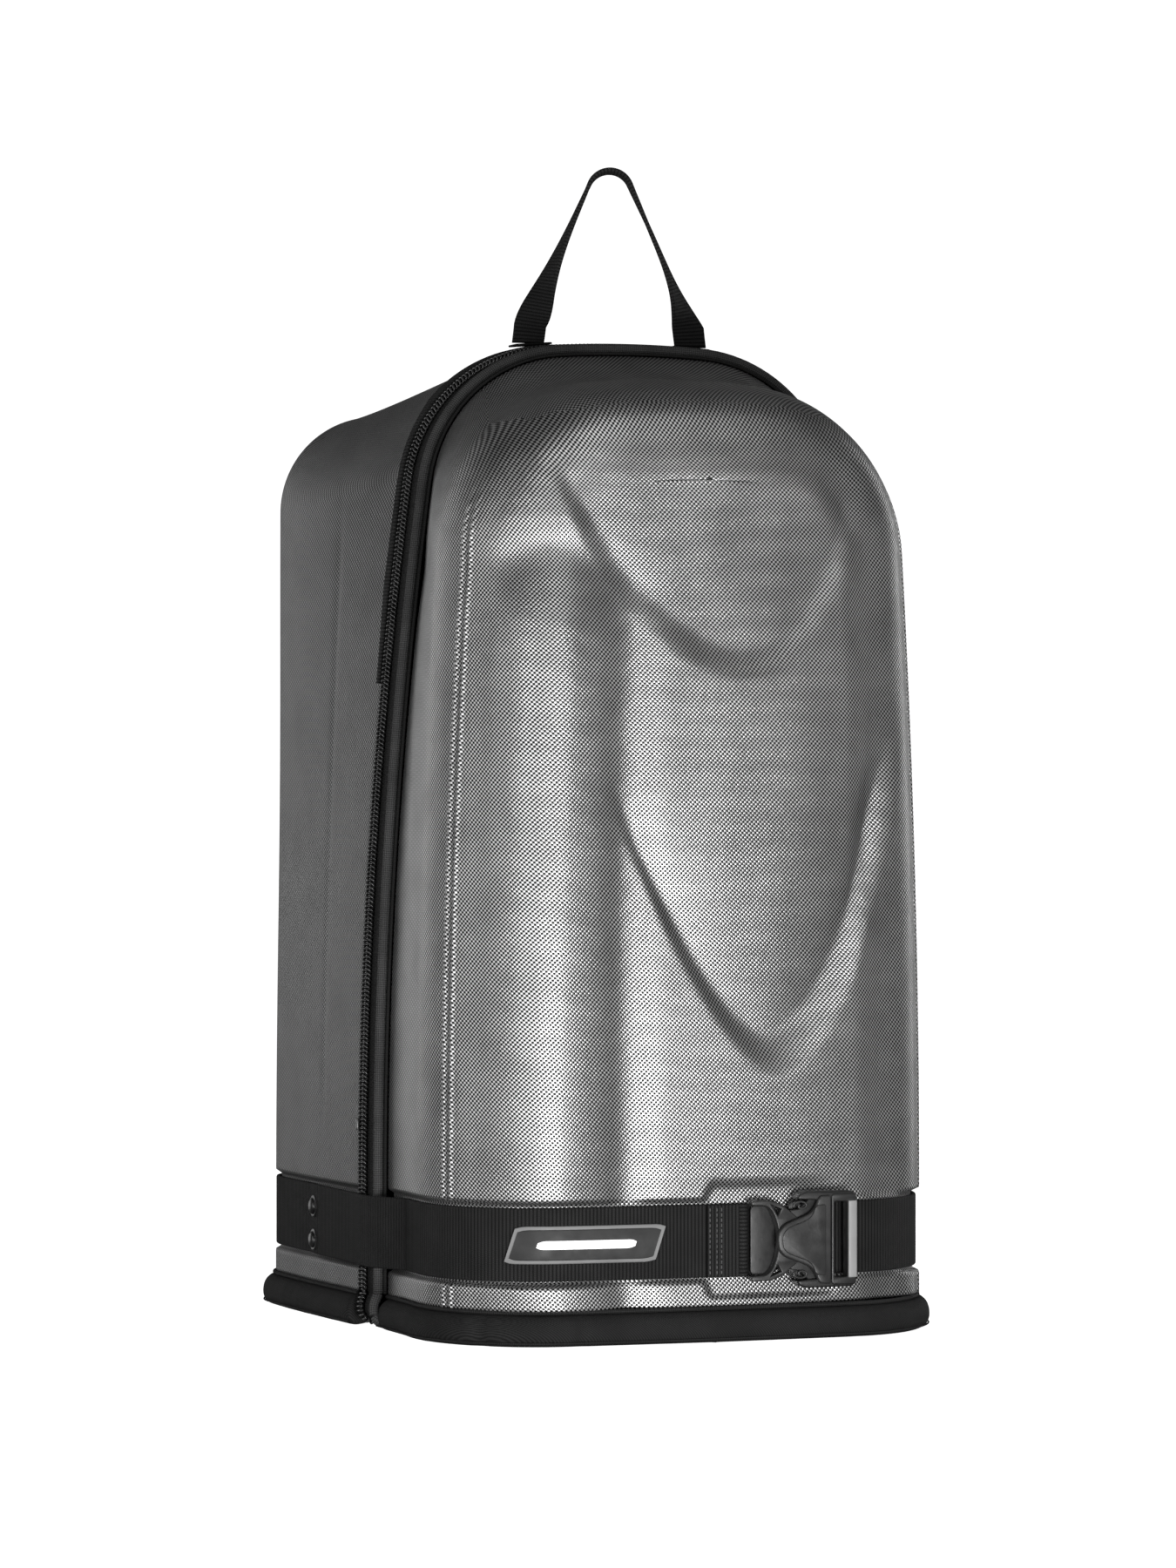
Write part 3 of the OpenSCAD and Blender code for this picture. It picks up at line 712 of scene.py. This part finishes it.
# ---- base
def puffed(obj, cap):
    """Inflates a sewn roll with Blender's cloth, moving no point further than cap millimetres."""
    remesh = obj.modifiers.new("remesh", "REMESH")
    remesh.mode = "VOXEL"
    remesh.voxel_size = 0.0015
    applied(obj)
    rest = np.array([v.co for v in obj.data.vertices])
    held = obj.vertex_groups.new(name="sewn")
    sewn = [v.index for v in obj.data.vertices if v.co.z < 1.0 * MM or v.co.z > 10.2 * MM]
    held.add(sewn, 1.0, "REPLACE")
    cloth = obj.modifiers.new("cloth", "CLOTH")
    cloth.settings.use_pressure = True
    cloth.settings.uniform_pressure_force = 4.0
    cloth.settings.effector_weights.gravity = 0.0
    cloth.settings.vertex_group_mass = "sewn"
    cloth.settings.quality = 4
    for number in range(1, 21):
        bpy.context.scene.frame_set(number)
    applied(obj)
    moved = np.array([v.co for v in obj.data.vertices]) - rest
    length = np.linalg.norm(moved, axis=1, keepdims=True)
    moved *= np.minimum(1.0, cap * MM / np.maximum(length, 1e-9))
    obj.data.vertices.foreach_set("co", (rest + moved).astype(np.float32).ravel())
    subdivide = obj.modifiers.new("subdivide", "SUBSURF")
    subdivide.levels = 1
    applied(obj)
    obj.data.shade_smooth()
    bpy.context.scene.frame_set(1)


def base_band(name, side, seams):
    """A foam roll covered in twill, pulled in at its cross seams and slightly puckered."""
    frames = plan_line(side, RIM_Z, 0.0, 0.0)
    path = []
    for i in range(len(frames) - 1):
        (p, a, up), (q, b, _) = frames[i], frames[i + 1]
        count = max(1, round((q - p).length / 2.0))
        path += [(p.lerp(q, k / count), a.lerp(b, k / count).normalized(), up) for k in range(count)]
    path.append(frames[-1])
    length = running_lengths([f[0] for f in path])[-1]
    shape = [(-4.6, 0.7), (-1.0, 0.1), (1.8, 0.0), (3.4, 0.7), (4.5, 2.4), (4.8, 4.6), (4.6, 6.8),
             (3.8, 8.8), (2.5, 10.2), (0.9, 10.9), (-1.0, 11.0), (-4.6, 10.9)]

    def profile(t):
        origin = path[round(t * (len(path) - 1))][0]
        pull = sum(bell(origin.x, x, 1.4) for x in seams) if origin.y < -60 else 0.0
        wave = 0.25 * noise.noise(origin * 0.09) + 0.12 * noise.noise(origin * 0.35)
        ends = math.exp(-t * length / 3.0) + math.exp(-(1 - t) * length / 3.0)
        swell = wave - pull - 0.6 * ends
        return [(a + swell if a > 2 else a, b) for a, b in shape]

    return sweep(name, path, profile)


def build_base():
    bands = (("base_roll_front", FRONT, (-78.0, -48.0), "base_band_front"),
             ("base_roll_back", BACK, (), "base_band_back"))
    for name, side, seams, node in bands:
        band = base_band(name, side, seams)
        puffed(band, 1.2)
        place(band, BASE_FABRIC, "case_back", "base_fabric", node)
        lines = {"lower": (4.3, 1.6, 0.32), "upper": (0.4, 11.6, 0.75)}
        for part, (out, z, radius) in lines.items():
            line = plan_line(side, RIM_Z, out, z)
            nodes = ("base_piping",) if part == "upper" and side is FRONT else ()
            swept(f"{name}_{part}_seam", line, circle(radius, 8), PIPING_BLACK, "case_back", "piping_black",
                  *nodes)
    floor_plan = [f[0] for f in plan_line(FRONT, RIM_Z, -5.4, 0.0)]
    floor_plan += [f[0] for f in reversed(plan_line(BACK, RIM_Z, -5.4, 0.0))]
    plates = (("base_floor_panel", 0.6, 2.0, 0.0, BASE_FABRIC, "base_fabric", "base_panel"),
              ("base_stiffener", 2.1, 4.5, 0.0, BOARD, "board", "base_board"),
              ("base_floor_lining", 4.6, 5.5, 0.5, LINING, "lining", "base_lining"))
    for name, low, high, crown, material, slot, node in plates:
        place(plate(name, floor_plan, low, high, crown), material, "case_back", slot, node)
    strip = level_frames([Vector((x, -97.15, 0)) for x in np.linspace(-45, 45, 31)], -1)
    heights = np.linspace(5.8, 12.4, 9)
    outline = [(-0.45, z) for z in heights] + [(0.45, z) for z in reversed(heights)]
    hinge = sweep("hinge_fabric", strip, outline)
    hinge.data.materials.append(BASE_FABRIC)
    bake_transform(hinge)
    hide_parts("hinge_strip")


def plate(name, outline, low, high, crown):
    """A flat panel with rounded edges, filled with rings that shrink towards its middle."""
    centre = sum(outline, Vector()) / len(outline)
    rings = [(0.985, low), (1.0, low + 0.3), (1.0, high - 0.3), (0.992, high)]
    rings += [(share, high + crown * (1 - share)) for share in (0.9, 0.75, 0.55, 0.35, 0.15)]
    points = []
    for share, z in rings:
        points += [Vector((centre.x + (p.x - centre.x) * share, centre.y + (p.y - centre.y) * share, z))
                   for p in outline]
    faces = tube_faces(len(rings), len(outline))
    uvs = [(points[v].x, points[v].y) for f in faces for v in f]
    return new_object(name, points, faces, uvs, sharp=50)


# ---- strap
def strap_line():
    """Frames (point, out, up) along the middle of the strap's left half, from its rear end to the buckle."""
    skin = WEB_T / 2 - GROOVE + 0.4
    groove = [f[0] for f in plan_line(FRONT, STRAP_Z, skin, STRAP_Z)]
    points = [Vector((-PIVOT_X, PIVOT_Y + 3.0, STRAP_Z)), Vector((-PIVOT_X, PIVOT_Y - 6.0, STRAP_Z)),
              Vector((-LEG_X - 2.3, ZIP_Y + 5, STRAP_Z)), Vector((-LEG_X - 2.2, ZIP_Y - 14, STRAP_Z))]
    points += [p for p in groove if p.y < ZIP_Y - 31 and p.x < BUCKLE_X + 16]
    return level_frames(spline(points, 4))


def cut(frames, keep):
    return [f for f in frames if keep(f[0])]


def on_strap(frames, distance, out, up):
    """Point at a distance along the strap, out from its middle line and up from its middle."""
    travelled = 0.0
    for i in range(len(frames) - 1):
        step = (frames[i + 1][0] - frames[i][0]).length
        if travelled + step >= distance or i == len(frames) - 2:
            t = (distance - travelled) / step
            point = frames[i][0].lerp(frames[i + 1][0], t)
            return point + frames[i][1].lerp(frames[i + 1][1], t).normalized() * out + Vector((0, 0, up))
        travelled += step


def strap_distance(frames, x):
    """Distance along the strap to the place on the front where it passes x."""
    travelled = 0.0
    for i in range(len(frames) - 1):
        if frames[i + 1][0].x >= x and frames[i][0].y < -60:
            return travelled
        travelled += (frames[i + 1][0] - frames[i][0]).length


BADGE_SLANT = 0.32


def badge_layer(name, frames, start, end, half, low, high, material):
    """One moulded layer of the badge: a slanted plate that follows the strap."""
    count = 28
    outline = rounded((high - low) / 2, half, min(0.45, (high - low) * 0.45), 3, ((low + high) / 2, 0.0))
    points = []
    for i in range(count + 1):
        t = i / count
        inset = 0.35 * (1 - min(1.0, t * 14)) ** 2 + 0.35 * (1 - min(1.0, (1 - t) * 14)) ** 2
        for out, up in outline:
            height = up * (1 - inset * 2 / half)
            distance = start + (end - start) * t + BADGE_SLANT * height
            points.append(on_strap(frames, distance, out, height))
    obj = new_object(name, points, tube_faces(count + 1, len(outline)), sharp=50)
    return place(obj, material, "strap_left", "badge_rubber")


def stitch_row(name, points, normals, body):
    """Short sewn stitches, each a small rounded bar that dips into the webbing at its ends."""
    verts, faces = [], []
    for a, b, n in zip(points[:-1], points[1:], normals):
        ring = []
        for t in (0.12, 0.3, 0.5, 0.7, 0.88):
            lift = 0.28 * math.sin(math.pi * t) - 0.05
            ring.append(a.lerp(b, t) + n * lift)
        across = (b - a).cross(n).normalized()
        faces += tube_faces(5, 6, len(verts))
        for p in ring:
            verts += [p + across * q + n * r for q, r in circle(0.24, 6)]
    return place(new_object(name, verts, faces), THREAD, body, "webbing")


def build_strap():
    frames = strap_line()
    web = rounded(WEB_T / 2, WEB_W / 2, 0.7)
    left = cut(frames, lambda p: p.x < BUCKLE_X - 17.0)
    right = [(Vector((-p.x, p.y, p.z)), Vector((-a.x, a.y, 0)), up) for p, a, up in frames]
    right = cut(right, lambda p: p.x > BUCKLE_X + 14.0)[::-1]
    for label, path, sign in (("left", left, -1), ("right", right, 1)):
        strap = sweep(f"strap_web_{label}", path, web)
        strap.data.materials.append(WEBBING)
        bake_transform(strap)
        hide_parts(f"strap_{label}")
    skin = WEB_T / 2 - GROOVE + 0.4
    rear = [p for p, _, _ in plan_line(BACK, STRAP_Z, skin, STRAP_Z) if p.y > PIVOT_Y + 12]
    ends = [[Vector((s * PIVOT_X, PIVOT_Y + d, STRAP_Z)) for d in (2.6, 7.0)] for s in (-1, 1)]
    path = level_frames(spline(ends[0] + rear + ends[1][::-1], 3), -1)
    swept("strap_web_rear", path, web, WEBBING, "case_back", "webbing", "strap_rear")
    build_strap_end(frames)
    build_badge(frames)


def build_strap_end(frames):
    """The strap's end is folded back round the buckle's bar and sewn down."""
    start, end = strap_distance(frames, -2.0), strap_distance(frames, BUCKLE_X - 18.5)
    path = []
    for k in range(25):
        p = on_strap(frames, start + (end - start) * k / 24, WEB_T / 2 + 0.55, 0.0)
        q = on_strap(frames, start + (end - start) * k / 24, WEB_T / 2 + 1.55, 0.0)
        path.append((p, (q - p).normalized(), Vector((0, 0, 1))))
    swept("strap_fold", path, rounded(0.6, WEB_W / 2 - 0.1, 0.5), WEBBING, "strap_left", "webbing")
    for number, x in enumerate((-0.9, 0.9, 2.6)):
        distance = strap_distance(frames, x)
        base = [on_strap(frames, distance, WEB_T / 2 + 1.15, z) for z in np.linspace(-11.6, 11.6, 14)]
        out = (on_strap(frames, distance, 5.0, 0.0) - on_strap(frames, distance, 0.0, 0.0)).normalized()
        stitch_row(f"strap_fold_stitch_{number}", base, [out] * 13, "strap_left")
    bar = [on_strap(frames, end - 1.2, WEB_T / 2 + 0.4, z) for z in (-12.2, -12.0, 12.0, 12.2)]
    upright = [(p, Vector((1, 0, 0)), Vector((0, 1, 0))) for p in bar]
    swept("strap_bar_loop", upright, lambda t: circle(1.75 if 0 < t < 1 else 1.5, 18), WEBBING, "strap_left",
          "webbing")


def build_badge(frames):
    start, end = strap_distance(frames, -70.0), strap_distance(frames, -19.0)
    surface = WEB_T / 2
    layers = (("badge_border", 0.0, 6.4, 0.05, 1.0, RUBBER_GREY),
              ("badge_field", 1.3, 5.2, 0.6, 1.25, RUBBER_DARK),
              ("badge_bar", 9.0, 1.5, 1.0, 1.55, RUBBER_LIGHT))
    for name, inset, half, low, high, material in layers:
        piece = badge_layer(name, frames, start + inset, end - inset, half, surface + low, surface + high,
                            material)
        if name == "badge_border":
            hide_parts("strap_badge")


def lathe(name, profile, origin, axis):
    """A turned piece: profile is a list of (radius, height) along axis from origin."""
    a = axis.orthogonal().normalized()
    b = axis.cross(a)
    points = [origin + axis * h + a * p + b * q for r, h in profile for p, q in circle(r, 32)]
    faces = [tuple(reversed(face)) for face in tube_faces(len(profile), 32)]
    return new_object(name, points, faces, sharp=60)


def build_rivets():
    dome = [(3.9, 0.0), (3.95, 0.35), (3.6, 0.6), (3.0, 0.62), (2.85, 0.5), (2.8, 0.9), (2.5, 1.35),
            (1.9, 1.65), (1.1, 1.82), (0.3, 1.86)]
    nodes = ("strap_rivets",)
    for sign, side in ((-1, "left"), (1, "right")):
        for z, level in ((STRAP_Z - 7.5, "lower"), (STRAP_Z + 4.5, "upper")):
            foot = Vector((sign * (PIVOT_X + WEB_T / 2 - 0.05), RIVET_Y, z))
            head = lathe(f"rivet_{side}_{level}", dome, foot, Vector((sign, 0, 0)))
            place(head, RIVET, "case_back", "rivet_black", *nodes)
            nodes = ()


# ---- hard parts
def bevelled_copy(name, node, width, material, body, slot):
    """The CAD part's own shape with rounded edges."""
    obj = bpy.data.objects.new(name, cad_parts[node].data.copy())
    bpy.context.scene.collection.objects.link(obj)
    bm = bmesh.new()
    bm.from_mesh(obj.data)
    bmesh.ops.remove_doubles(bm, verts=bm.verts, dist=1e-5)
    bmesh.ops.dissolve_limit(bm, angle_limit=math.radians(2), verts=bm.verts, edges=bm.edges)
    bm.to_mesh(obj.data)
    bm.free()
    bevel = obj.modifiers.new("bevel", "BEVEL")
    bevel.width = width * MM
    bevel.segments = 3
    bevel.limit_method = "ANGLE"
    bevel.angle_limit = math.radians(35)
    applied(obj)
    obj.data.shade_smooth()
    obj.data.set_sharp_from_angle(angle=math.radians(40))
    return place(obj, material, body, slot, node)


def standing(name, outlines, near, far, bevel, material, body):
    """A rounded buckle plate drawn from the front about the buckle's middle, from depth near to far."""
    curve = bpy.data.curves.new(name, "CURVE")
    curve.dimensions = "2D"
    curve.fill_mode = "BOTH"
    for outline in outlines:
        line = curve.splines.new("POLY")
        line.points.add(len(outline) - 1)
        line.use_cyclic_u = True
        for point, (x, z) in zip(line.points, outline):
            point.co = (x * MM, z * MM, 0, 1)
    curve.extrude = ((far - near) / 2 - bevel) * MM
    curve.bevel_depth = bevel * MM
    curve.bevel_resolution = 3
    curve.offset = -bevel * MM
    source = bpy.data.objects.new(name + "_outline", curve)
    bpy.context.scene.collection.objects.link(source)
    bpy.context.view_layer.update()
    mesh = bpy.data.meshes.new_from_object(source.evaluated_get(bpy.context.evaluated_depsgraph_get()))
    bpy.data.objects.remove(source)
    bm = bmesh.new()
    bm.from_mesh(mesh)
    bmesh.ops.remove_doubles(bm, verts=bm.verts, dist=2e-6)
    bmesh.ops.recalc_face_normals(bm, faces=bm.faces)
    bm.to_mesh(mesh)
    bm.free()
    centre = Vector((BUCKLE_X, buckle_y() + (near + far) / 2, STRAP_Z)) * MM
    mesh.transform(Matrix.Translation(centre) @ Matrix.Rotation(math.radians(90), 4, "X"))
    mesh.shade_smooth()
    mesh.set_sharp_from_angle(angle=math.radians(35))
    obj = bpy.data.objects.new(name, mesh)
    bpy.context.scene.collection.objects.link(obj)
    return place(obj, material, body, "buckle_plastic")


def buckle_y():
    """Middle depth of the buckle, which stands in front of the strap's groove."""
    strap_y = FRONT_Y + FRONT_CROWN * (BUCKLE_X / LEG_X) ** 2 - (WEB_T / 2 - GROOVE + 0.4)
    return strap_y - 4.6


def flat_spline(points, steps):
    return [(p.x, p.y) for p in spline([Vector((x, z, 0)) for x, z in points], steps)]


def mirrored(points):
    """A half outline from the middle up and the same half turned over below it."""
    return points + [(x, -z) for x, z in reversed(points) if z > 0.01]


def build_buckle():
    build_female()
    build_male()
    for sign, label in ((1, "upper"), (-1, "lower")):
        build_prong(sign, label)


def build_female():
    body = "strap_right"
    nose = flat_spline([(-10.2, 0.0), (-9.7, 3.0), (-7.6, 5.4), (-4.2, 6.9), (-0.6, 8.2), (2.0, 9.6),
                        (3.6, 11.6), (4.6, 14.0)], 5)
    nose += [(5.6, 15.0), (8.8, 15.2), (9.4, 14.6)]
    cover = standing("buckle_cover", [mirrored(nose)], -4.7, -2.5, 0.75, BUCKLE, body)
    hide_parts("buckle_female")
    swell = [(x * 0.82 - 0.4, z * 0.8) for x, z in nose]
    standing("buckle_cover_swell", [mirrored(swell)], -5.1, -4.2, 0.42, BUCKLE, body)
    back = rounded(8.4, 13.2, 2.0, 4, (4.6, 0.0))
    standing("buckle_back_plate", [back], 1.9, 3.6, 0.4, BUCKLE_DARK, body)
    rail = [(-2.6, 14.1), (-1.6, 15.6), (1.0, 16.5), (17.6, 16.3), (19.0, 15.2), (19.0, 13.4), (6.0, 13.3),
            (2.0, 13.6)]
    for sign, label in ((1, "upper"), (-1, "lower")):
        outline = [(x, sign * z) for x, z in rail]
        standing(f"buckle_rail_{label}", [outline], -3.4, 3.2, 0.6, BUCKLE_DARK, body)
    window = [rounded(4.6, 15.6, 1.2, 4, (14.4, 0.0)), rounded(2.4, 12.9, 0.5, 3, (13.4, 0.0))]
    standing("buckle_frame", window, -3.9, 1.0, 0.45, BUCKLE_DARK, body)
    bar = rounded(1.55, 13.2, 0.4, 3, (17.4, 0.0))
    standing("buckle_ladder_bar", [bar], -4.6, -3.4, 0.35, BUCKLE_PALE, body)


def build_male():
    body = "strap_left"
    arms = flat_spline([(-2.0, 7.6), (-5.2, 10.2), (-8.4, 12.4), (-12.2, 13.6), (-17.8, 13.9)], 5)
    arms += [(-18.9, 13.4), (-18.9, 12.2)]
    arms += flat_spline([(-17.0, 12.0), (-13.6, 11.7), (-11.4, 9.8), (-10.0, 6.8), (-9.1, 3.2),
                         (-8.9, 0.0)], 5)
    outline = arms + [(x, -z) for x, z in reversed(arms[:-1])]
    holes = [[(-11.9, s * 12.3), (-8.0, s * 10.7), (-9.3, s * 8.3)] for s in (1, -1)]
    arms_plate = standing("buckle_male_frame", [outline] + holes, -2.3, 1.4, 0.4, BUCKLE, body)
    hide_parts("buckle_male")
    tongue = rounded(6.4, 2.0, 0.8, 3, (-0.4, 0.0))
    standing("buckle_male_tongue", [tongue], -2.0, 1.3, 0.35, BUCKLE_DARK, body)
    back = rounded(4.6, 11.8, 1.6, 3, (-13.4, 0.0))
    standing("buckle_male_back", [back], 1.5, 2.4, 0.3, BUCKLE_DARK, body)


def build_prong(sign, label):
    """One springy prong: its blade and the curled spring hook that shows beside the cover."""
    body = f"prong_{label}"
    half = [(-4.4, 7.1), (6.6, 7.1), (6.8, 12.0), (5.4, 13.9), (2.2, 13.9), (-1.4, 10.5), (-4.4, 10.1)]
    outline = [(x, sign * z) for x, z in half]
    blade = standing(f"prong_blade_{label}", [outline], -1.7, 1.2, 0.4, BUCKLE_DARK, body)
    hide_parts(f"buckle_prong_{label}")
    curl = []
    for k in range(31):
        turn = math.radians(200 - 430 * k / 30)
        radius = 2.9 - 2.2 * k / 30
        curl.append(Vector((BUCKLE_X - 0.8 + radius * math.cos(turn), buckle_y() - 2.15,
                            STRAP_Z + sign * (11.6 + 0.62 * radius * math.sin(turn)))))
    path = turned(curl, [Vector((0, 1, 0))] * len(curl))
    swept(f"prong_spring_{label}", path, rounded(0.36, 0.5, 0.2, 2), BUCKLE, body, "buckle_plastic")


def ribbon_frames():
    """The handle's ribbon: flat at its feet, turning until its edge faces front at the top."""
    foot_z = arch_at(ZIP_ARCH, 4.0)[0][1] + 1.2
    bend_r = 7.9
    bend_z = HANDLE_TOP - bend_r
    lean = math.atan2(HANDLE_FOOT_X - bend_r, bend_z - foot_z)
    half = [(HANDLE_FOOT_X + 1.0 - 0.25 * k, foot_z + 1.6 * k, 0.0, 0.03 * k) for k in range(5)]
    start_x, start_z = half[-1][:2]
    for k in range(1, 34):
        t = k / 34
        x = start_x * (1 - t) + bend_r * math.cos(lean) * t
        z = start_z * (1 - t) + (bend_z + bend_r * math.sin(lean)) * t
        twist = 90 * (0.8 * (1 - (1 - t) ** 5) + 0.2 * t)
        half.append((x, z, twist, 0.12 + (lean - 0.12) * min(1.0, 4 * t)))
    for k in range(15):
        angle = lean + (math.pi / 2 - lean) * k / 14
        half.append((bend_r * math.cos(angle), bend_z + bend_r * math.sin(angle), 90.0, angle))
    frames = []
    for sign, part in ((-1, half), (1, half[-2::-1])):
        for x, z, twist, angle in part:
            # The loop as a whole turns a little about the vertical towards its top.
            turn = Matrix.Rotation(math.radians(-18.0 * smooth(foot_z, HANDLE_TOP - 15.0, z)), 3, "Z")
            out = turn @ Vector((sign * math.cos(angle), 0, math.sin(angle)))
            back = turn @ Vector((0, 1, 0))
            t = math.radians(twist)
            point = turn @ Vector((sign * x, 0, z)) + Vector((0, HANDLE_Y, 0))
            frames.append((point, out * math.cos(t) + back * math.sin(t),
                           back * math.cos(t) - out * math.sin(t)))
    return frames


def build_handle():
    ribbon = rounded(6.0, WEB_T / 2, 0.6, 3)
    swept("handle_webbing", ribbon_frames(), ribbon, WEBBING, "handle", "webbing", "handle_loop")
    bevelled_copy("handle_feet", "handle_tabs", 0.4, WEBBING, "case_back", "webbing")


def build_hardware():
    bevelled_copy("slider_body", "zip_slider", 0.3, SLIDER_METAL, "slider", "slider_metal")
    bevelled_copy("slider_pull", "zip_pull", 0.25, RIVET, "pull", "rivet_black")
    bevelled_copy("zip_stops", "zip_end_stops", 0.2, RIVET, "case_back", "metal_trim")
    bevelled_copy("rivet_backing", "rivet_washers", 0.2, TRIM_METAL, "case_back", "metal_trim")


# ---- studio
# Soft panels: name, place, aim, size and watts.
LIGHTS = (("key_panel", (-0.07, -0.85, -0.06), (-0.03, -0.1, 0.06), (0.28, 0.17), 10.5),
          ("column_panel", (-0.95, -1.0, 0.15), (0.0, 0.0, 0.15), (0.4, 0.5), 10.0),
          ("right_panel", (0.9, -1.0, 0.2), (0.0, 0.0, 0.15), (0.4, 0.5), 1.2),
          ("top_panel", (0.0, -1.0, 1.1), (0.0, 0.0, 0.25), (0.8, 0.6), 5.0),
          ("back_panel", (-0.75, 1.25, 0.3), (0.0, 0.0, 0.2), (0.8, 0.9), 3.4),
          ("side_panel", (-1.3, -0.1, 0.35), (0.0, 0.0, 0.2), (0.4, 0.9), 4.4),
          ("rim_panel", (1.1, 0.35, 0.35), (0.0, 0.0, 0.2), (0.3, 0.9), 3.0))


def build_studio():
    """A pale floor and a white dome that only the camera sees, so that neither lights the object."""
    size = 5000.0
    corners = [(-size, -size, 0), (size, -size, 0), (size, size, 0), (-size, size, 0)]
    floor = new_object("studio_floor", corners, [(0, 1, 2, 3)])
    floor.data.materials.append(studio_material("studio_floor_paint", 1.0))
    rings = ((4900.0, -5.0), (4900.0, 2500.0), (3000.0, 4200.0), (1.0, 4600.0))
    wall = [(x, y, z) for radius, z in rings for x, y in circle(radius, 48)]
    open_sides = tube_faces(len(rings), 48)[:-2]
    dome = new_object("studio_dome", wall, [tuple(reversed(face)) for face in open_sides])
    dome.data.materials.append(studio_material("studio_dome_paint", 1.0))
    for obj in (floor, dome):
        obj.visible_diffuse = False
        obj.visible_glossy = False
        obj.visible_shadow = False
    scene = bpy.context.scene
    scene.view_settings.view_transform = "Standard"
    world = bpy.data.worlds.new("studio_fill")
    world.use_nodes = True
    world.node_tree.nodes["Background"].inputs["Color"].default_value = (1, 1, 1, 1)
    world.node_tree.nodes["Background"].inputs["Strength"].default_value = 0.1
    scene.world = world
    for light in LIGHTS:
        add_light(*light)
    camera_data = bpy.data.cameras.new("photo_camera")
    camera_data.lens = 128.0
    camera_data.sensor_width = 36.0
    camera = bpy.data.objects.new("photo_camera", camera_data)
    camera.location = (-0.6906, -1.8770, 0.1904)
    camera.rotation_euler = (math.radians(90), 0.0, math.radians(-20))
    scene.collection.objects.link(camera)
    scene.camera = camera


def studio_material(name, glow):
    g = Graph(name)
    g.finish(g.blend(g.remap(g.noise(3.0, 2.0), 0.3, 0.7, 0.0, 1.0), 0.92, 0.96), Roughness=0.8)
    g.bsdf.inputs["Emission Color"].default_value = (1, 1, 1, 1)
    g.bsdf.inputs["Emission Strength"].default_value = glow
    return g.material


def add_light(name, place_at, aim, size, power):
    data = bpy.data.lights.new(name, "AREA")
    data.shape = "RECTANGLE"
    data.size, data.size_y = size
    data.energy = power
    light = bpy.data.objects.new(name, data)
    light.location = place_at
    direction = Vector(aim) - Vector(place_at)
    light.rotation_euler = direction.to_track_quat("-Z", "Y").to_euler()
    light.visible_camera = False
    bpy.context.scene.collection.objects.link(light)


build_studio()
build_shells()
build_zip()
build_tails()
build_base()
build_strap()
build_rivets()
build_buckle()
build_handle()
build_hardware()
